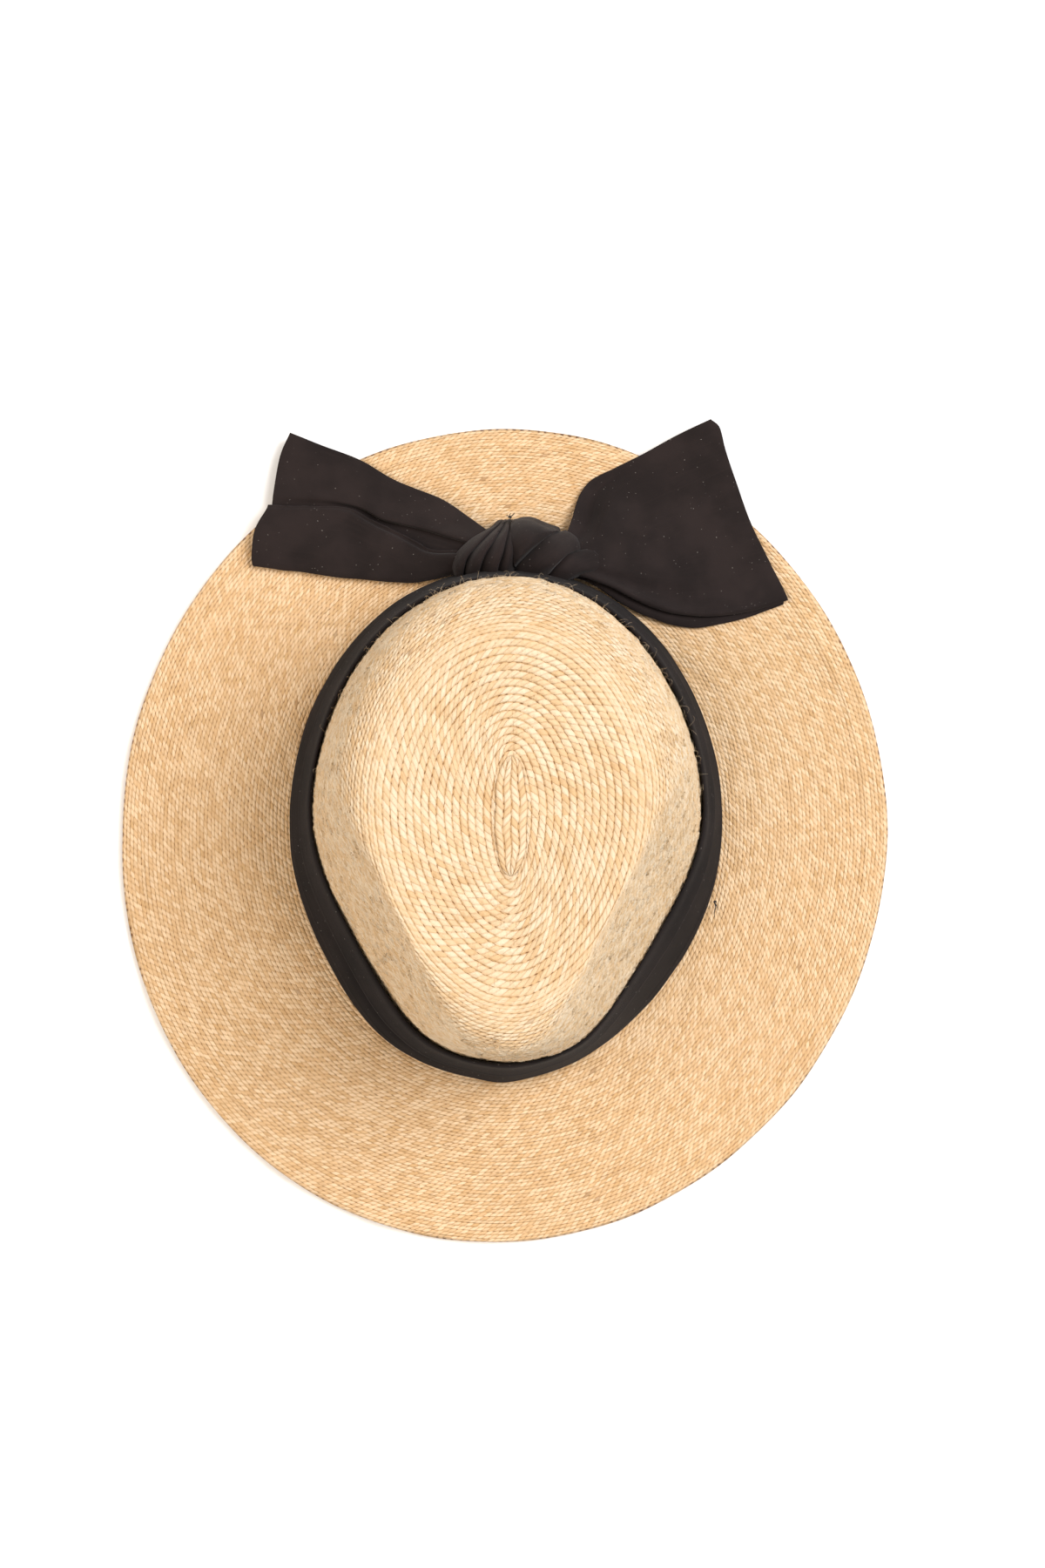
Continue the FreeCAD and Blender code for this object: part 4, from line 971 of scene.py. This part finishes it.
def stray_fibres():
    """Thin loose fibres that stand off the straw, most of them round the back of the crown."""
    source = np.random.default_rng(77)
    tubes = []
    crown_normal = grid_normals(crown_outer)
    brim_normal = grid_normals(brim_outer)

    def add(grid, normals, count, rows, columns, shortest, longest, rise):
        """count fibres, rooted at random places between those rows and columns."""
        for _ in range(count):
            row = int(source.integers(*rows))
            column = int(source.integers(*columns)) % grid.shape[1]
            root = grid[row, column]
            normal = normals[row, column]
            heading = source.normal(size=3)
            heading = heading - normal * (heading @ normal)
            heading = heading / np.linalg.norm(heading)
            length = source.uniform(shortest, longest) * MM
            lift = source.uniform(0.15, rise)
            bend = source.normal(size=3) * 0.22
            step = np.linspace(0, 1, 6)[:, None]
            line = root + length * (step * heading + normal * lift * np.sin(step * 2.2) + bend * step ** 2)
            line = line + normal * 0.35 * MM
            radius = source.uniform(0.03, 0.055) * MM * (1 - 0.6 * step)
            tubes.append(tube(line, np.repeat(radius, 3, axis=1), 3))

    crown_rows = crown_outer.shape[0]
    brim_rows = brim_outer.shape[0]
    top_rows = (4, int(0.55 * crown_rows))
    wall_rows = (int(0.58 * crown_rows), int(0.74 * crown_rows))
    outer_rows = (brim_rows // 6, brim_rows - 4)
    back_half = (0, crown_columns // 2)
    front_half = (crown_columns // 2, crown_columns)
    add(crown_outer, crown_normal, 330, top_rows, (0, crown_columns), 2.0, 6.0, 0.5)
    add(crown_outer, crown_normal, 170, wall_rows, back_half, 1.2, 3.6, 1.2)
    add(crown_outer, crown_normal, 50, wall_rows, front_half, 1.2, 3.0, 0.8)
    add(brim_outer, brim_normal, 420, outer_rows, (0, brim_columns), 1.5, 5.0, 0.4)
    return joined_tubes("straw_fibres", tubes, 3)


fibres = stray_fibres()


# ---------------------------------------------------------------- material helpers
class Shader:
    """A node material built with short calls."""

    def __init__(self, name):
        self.material = bpy.data.materials.new(name)
        self.material.use_nodes = True
        self.tree = self.material.node_tree
        self.surface = self.tree.nodes["Principled BSDF"]

    def node(self, kind, **settings):
        made = self.tree.nodes.new(kind)
        for key, value in settings.items():
            setattr(made, key, value)
        return made

    def feed(self, socket, value):
        if hasattr(value, "is_output"):
            self.tree.links.new(value, socket)
        else:
            socket.default_value = value

    def math(self, operation, first, second=0.0, third=0.0, clamp=False):
        made = self.node("ShaderNodeMath", operation=operation, use_clamp=clamp)
        for socket, value in zip(made.inputs, (first, second, third)):
            self.feed(socket, value)
        return made.outputs[0]

    def times(self, first, second):
        return self.math("MULTIPLY", first, second)

    def minus(self, first, second, clamp=False):
        return self.math("SUBTRACT", first, second, clamp=clamp)

    def ramp(self, value, low, high, out_low=0.0, out_high=1.0):
        made = self.node("ShaderNodeMapRange", interpolation_type="SMOOTHSTEP")
        for index, item in enumerate((value, low, high, out_low, out_high)):
            self.feed(made.inputs[index], item)
        return made.outputs[0]

    def mix(self, factor, first, second, blend="MIX"):
        made = self.node("ShaderNodeMix", data_type="RGBA", blend_type=blend)
        self.feed(made.inputs[0], factor)
        for socket, value in ((made.inputs[6], first), (made.inputs[7], second)):
            self.feed(socket, (*value, 1.0) if isinstance(value, tuple) and len(value) == 3 else value)
        return made.outputs[2]

    def combine(self, x, y, z=0.0):
        made = self.node("ShaderNodeCombineXYZ")
        for socket, value in zip(made.inputs, (x, y, z)):
            self.feed(socket, value)
        return made.outputs[0]

    def noise(self, vector, scale, detail=2.0, roughness=0.5):
        made = self.node("ShaderNodeTexNoise")
        self.feed(made.inputs["Vector"], vector)
        made.inputs["Scale"].default_value = scale
        made.inputs["Detail"].default_value = detail
        made.inputs["Roughness"].default_value = roughness
        return made.outputs[0]

    def random(self, vector):
        made = self.node("ShaderNodeTexWhiteNoise", noise_dimensions="3D")
        self.feed(made.inputs["Vector"], vector)
        return made.outputs["Value"]

    def bump(self, height, distance, strength=1.0):
        made = self.node("ShaderNodeBump")
        made.inputs["Distance"].default_value = distance
        made.inputs["Strength"].default_value = strength
        self.feed(made.inputs["Height"], height)
        self.feed(self.surface.inputs["Normal"], made.outputs[0])
        return made

    def place(self):
        return self.node("ShaderNodeTexCoord").outputs["Object"]


def lit_surface(shader, colour, roughness):
    """The finished material, with that colour and roughness and a weak gloss."""
    shader.feed(shader.surface.inputs["Base Color"], colour)
    shader.surface.inputs["Roughness"].default_value = roughness
    shader.surface.inputs["Specular IOR Level"].default_value = 0.25
    return shader.material


# ---------------------------------------------------------------- straw material
PALE_STRAW = (0.72, 0.595, 0.43)
MID_STRAW = (0.66, 0.485, 0.295)
GOLD_STRAW = (0.53, 0.31, 0.12)
DARK_STRAW = (0.17, 0.065, 0.016)


def strand_pattern(s, along, line, slant, brick):
    """How far into its strand a point is, and numbers that differ from strand to strand."""
    line_number = s.math("FLOOR", line)
    centred = s.minus(s.minus(line, line_number), 0.5)
    shifted = s.math("MULTIPLY_ADD", centred, slant, along)
    shifted = s.math("MULTIPLY_ADD", line_number, brick, shifted)
    strand_number = s.math("FLOOR", shifted)
    from_middle = s.math("ABSOLUTE", centred)
    from_joint = s.math("ABSOLUTE", s.minus(s.minus(shifted, strand_number), 0.5))
    chances = [s.random(s.combine(strand_number, line_number, seed)) for seed in (0.37, 5.11, 9.7)]
    return shifted, from_middle, from_joint, chances


def strand_colour(s, pattern, line, pale, mid, gap_depth, slit_depth, joint_depth):
    """Straw colour of a strand pattern and its height for the bump."""
    shifted, from_middle, from_joint, (chance, chance_two, chance_three) = pattern
    colour = s.mix(s.ramp(chance, 0.1, 0.95), pale, mid)
    colour = s.mix(s.ramp(chance_two, 0.72, 1.0, 0.0, 0.42), colour, GOLD_STRAW)
    colour = s.mix(s.ramp(chance_three, 0.9965, 0.9985, 0.0, 0.45), colour, DARK_STRAW)
    fibre = s.noise(s.combine(s.times(shifted, 2.0), s.times(line, 7.0)), 2.2, 3.0, 0.65)
    colour = s.mix(s.ramp(fibre, 0.36, 0.60, 0.22, 0.0), colour, GOLD_STRAW)
    gap = s.times(s.ramp(from_middle, 0.33, 0.49), s.ramp(chance_three, 0.1, 0.8, 0.25, 1.0))
    joint = s.ramp(from_joint, 0.34, 0.49)
    slit = s.times(s.ramp(from_middle, 0.37, 0.47), s.ramp(from_joint, 0.15, 0.40))
    slit = s.times(slit, s.ramp(chance_two, 0.15, 0.8, 0.25, 1.0))
    colour = s.mix(s.times(gap, gap_depth), colour, GOLD_STRAW)
    colour = s.mix(s.times(joint, joint_depth), colour, GOLD_STRAW)
    colour = s.mix(s.times(slit, slit_depth), colour, DARK_STRAW)
    hump = s.minus(1.0, s.math("MAXIMUM", gap, s.times(joint, 0.7)))
    return colour, s.math("MULTIPLY_ADD", fibre, 0.4, hump)


def straw(name, rope_rows, pale=PALE_STRAW, mid=MID_STRAW):
    """Sewn straw braid: two lines of lozenges in each row; rope-like rows near the crown's middle."""
    s = Shader(name)
    split = s.node("ShaderNodeSeparateXYZ")
    s.feed(split.inputs[0], s.node("ShaderNodeUVMap", uv_map="braid").outputs[0])
    along, row = split.outputs[0], split.outputs[1]
    line = s.times(row, 2.0)
    pattern = strand_pattern(s, along, line, 0.75, 0.5)
    colour, height = strand_colour(s, pattern, line, pale, mid, 0.65, 1.0, 0.45)
    if rope_rows:
        rope = strand_pattern(s, along, row, 1.05, 0.0)
        rope_colour, rope_height = strand_colour(s, rope, row, pale, mid, 0.7, 0.95, 0.2)
        outer_rows = s.ramp(row, KNIT_FROM_ROW, KNIT_FROM_ROW + KNIT_FADE)
        first_plait_part = s.ramp(row, FIRST_PLAIT_ROW - 2.0, FIRST_PLAIT_ROW - 1.0)
        outer_rows = s.minus(outer_rows, first_plait_part, clamp=True)
        colour = s.mix(outer_rows, rope_colour, colour)
        # painted shade: the crown's wall rows are tinted a little deeper gold for the warm shade the walls
        # fall in
        wall_rows = s.minus(s.ramp(row, *PAINTED_SHADE_WALL_ROWS), first_plait_part, clamp=True)
        colour = s.mix(s.times(wall_rows, 0.14), colour, GOLD_STRAW)
        height = s.math("ADD", s.times(height, outer_rows),
                        s.times(rope_height, s.minus(1.0, outer_rows)))
    patch = s.noise(s.place(), 22.0, 3.0)
    colour = s.mix(s.ramp(patch, 0.45, 0.75, 0.0, 0.10), colour, GOLD_STRAW)
    s.bump(height, 0.30 * MM, 0.9)
    return lit_surface(s, colour, 0.62)


def cotton(name, base, light, fleck, sheen):
    """Fine plain-woven cotton: a weave of thin threads, soft sheen and a few bits of lint."""
    s = Shader(name)
    place = s.node("ShaderNodeUVMap", uv_map="cloth").outputs[0]
    split = s.node("ShaderNodeSeparateXYZ")
    s.feed(split.inputs[0], place)
    warp = s.math("SINE", s.times(split.outputs[0], TURN / THREAD_PITCH))
    weft = s.math("SINE", s.times(split.outputs[1], TURN / THREAD_PITCH))
    weave = s.times(warp, weft)
    patch = s.noise(s.place(), 60.0, 3.0)
    slub_place = s.combine(s.times(split.outputs[0], 30.0), s.times(split.outputs[1], 900.0))
    slub = s.noise(slub_place, 1.0, 2.0)
    colour = s.mix(s.ramp(patch, 0.3, 0.7), base, light)
    colour = s.mix(s.ramp(slub, 0.5, 0.75, 0.0, 0.35), colour, light)
    colour = s.mix(s.ramp(weave, 0.2, 1.0, 0.0, 0.3), colour, light)
    lint = s.ramp(s.noise(s.place(), 1500.0, 0.0), 0.845, 0.86)
    colour = s.mix(s.times(lint, fleck), colour, (0.45, 0.42, 0.38))
    s.bump(s.math("MULTIPLY_ADD", weave, 0.5, slub), 0.06 * MM, 0.5)
    material = lit_surface(s, colour, 0.86)
    s.surface.inputs["Specular IOR Level"].default_value = 0.2
    s.surface.inputs["Sheen Weight"].default_value = sheen
    s.surface.inputs["Sheen Roughness"].default_value = 0.45
    return material


def spun_thread(name, base, light):
    """Twisted sewing thread."""
    s = Shader(name)
    fibre = s.noise(s.place(), 2600.0, 3.0, 0.6)
    s.bump(fibre, 0.05 * MM, 0.6)
    return lit_surface(s, s.mix(s.ramp(fibre, 0.35, 0.7), base, light), 0.7)


def drawn_metal(name, base, light, roughness):
    """Bare metal with fine drawing marks."""
    s = Shader(name)
    mark = s.noise(s.place(), 1800.0, 4.0, 0.7)
    s.bump(mark, 0.02 * MM, 0.4)
    material = lit_surface(s, s.mix(s.ramp(mark, 0.3, 0.7), base, light), roughness)
    s.surface.inputs["Metallic"].default_value = 1.0
    return material


def loose_straw(name):
    """Single straw fibres, pale to mid."""
    s = Shader(name)
    tone = s.noise(s.place(), 140.0, 2.0)
    return lit_surface(s, s.mix(s.ramp(tone, 0.3, 0.7), PALE_STRAW, MID_STRAW), 0.6)


THREAD_PITCH = 0.42 * MM
crown_straw = straw("straw crown rows", True)
brim_straw = straw("straw brim rows", False, pale=(0.80, 0.60, 0.39), mid=(0.68, 0.455, 0.25))
black_cotton = cotton("black cotton", (0.0095, 0.0058, 0.0054), (0.0175, 0.0112, 0.0105), 0.35, 0.06)
# painted shade: the band takes a darker copy of the same black cotton, because the upright band gets less
# light than the tails
band_cotton_painted_shade = cotton("black cotton of the band in painted shade", (0.0050, 0.0031, 0.0029),
                     (0.0095, 0.0062, 0.0058), 0.35, 0.03)
cream_tape = cotton("cream tape", (0.74, 0.65, 0.50), (0.84, 0.76, 0.62), 0.0, 0.05)
cream_thread = spun_thread("cream thread", (0.70, 0.56, 0.36), (0.86, 0.74, 0.54))
black_thread = spun_thread("black thread", (0.012, 0.010, 0.010), (0.05, 0.045, 0.042))


# ---------------------------------------------------------------- what each piece stands for
def settle(piece, material, node, body="hat"):
    """Material, material slot, CAD node it stands for, and the body it moves with."""
    piece.data.materials.append(material)
    if node:
        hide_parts(node)
    if body:
        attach(piece, body)


settle(crown, crown_straw, "crown")
settle(plait, crown_straw, "centre_plait")
settle(fibres, loose_straw("loose fibres"), None)
settle(brim, brim_straw, "brim")
settle(hem, brim_straw, "brim_hem")
settle(hem_stitches, cream_thread, "hem_stitches")
settle(sweatband, cream_tape, "sweatband")
settle(joint_tape, cream_tape, "sweatband_tape")
settle(sweat_stitches, cream_thread, "sweatband_stitches")
settle(band, band_cotton_painted_shade, "scarf_band")
settle(left_wrap, black_cotton, "knot_left_wrap")
settle(upper_wrap, black_cotton, "knot_right_wrap")
settle(lower_wrap, black_cotton, "knot_right_wrap")
settle(pinch_fold, black_cotton, "knot_right_wrap")
settle(left_tail, black_cotton, "left_tail", None)
settle(right_tail, black_cotton, "right_tail", None)
settle(knot_thread, black_thread, "knot_tack")
settle(band_thread, black_thread, "band_tack")
wire_metal = drawn_metal("spring wire", (0.42, 0.42, 0.43), (0.60, 0.60, 0.61), 0.38)
ferrule_metal = drawn_metal("soft metal sleeve", (0.62, 0.62, 0.63), (0.78, 0.78, 0.78), 0.45)
for node, metal in (("brim_wire", wire_metal), ("wire_ferrule", ferrule_metal)):
    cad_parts[node].data.materials.clear()
    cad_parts[node].data.materials.append(metal)

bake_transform(left_tail)
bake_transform(right_tail)

# ---------------------------------------------------------------- camera and light
SENSOR = 36.0
VIEW_HEIGHT = 0.664
camera_data = bpy.data.cameras.new("camera")
camera_data.sensor_width = SENSOR
camera_data.lens = SENSOR * SIGHT[2] / VIEW_HEIGHT
camera = add_object("camera", camera_data)
camera.location = SIGHT
bpy.context.scene.camera = camera

FLOOR_SIDE = 3.0
FLOOR_LEVEL = -0.0002
floor_mesh = bpy.data.meshes.new("floor")
floor_corners = [(x * FLOOR_SIDE, y * FLOOR_SIDE, FLOOR_LEVEL)
                 for x, y in ((-1, -1), (1, -1), (1, 1), (-1, 1))]
floor_mesh.from_pydata(floor_corners, [], [(0, 1, 2, 3)])
floor = add_object("floor", floor_mesh)
floor_shader = Shader("pale floor")
floor_mesh.materials.append(lit_surface(floor_shader, (0.93, 0.93, 0.93, 1.0), 0.9))


def area_light(name, place, width, power, colour):
    """A square light that faces the middle of the hat's foot."""
    data = bpy.data.lights.new(name, "AREA")
    data.energy = power
    data.size = width
    data.color = colour
    light = add_object(name, data)
    light.location = place
    direction = -np.array(place)
    yaw = math.atan2(direction[1], direction[0])
    pitch = math.acos(-direction[2] / np.linalg.norm(direction))
    light.rotation_euler = (pitch, 0.0, yaw - math.pi / 2)


area_light("key", (1.3, 0.65, 2.0), 1.3, 61.0, (1.0, 0.985, 0.985))
area_light("fill", (-1.4, -0.3, 2.0), 2.0, 35.0, (1.0, 0.84, 0.67))
world = bpy.data.worlds.new("soft room")
world.use_nodes = True
bpy.context.scene.world = world
world.node_tree.nodes["Background"].inputs["Color"].default_value = (1.0, 1.0, 1.0, 1.0)
world.node_tree.nodes["Background"].inputs["Strength"].default_value = 0.56
bpy.context.scene.view_settings.view_transform = "Standard"
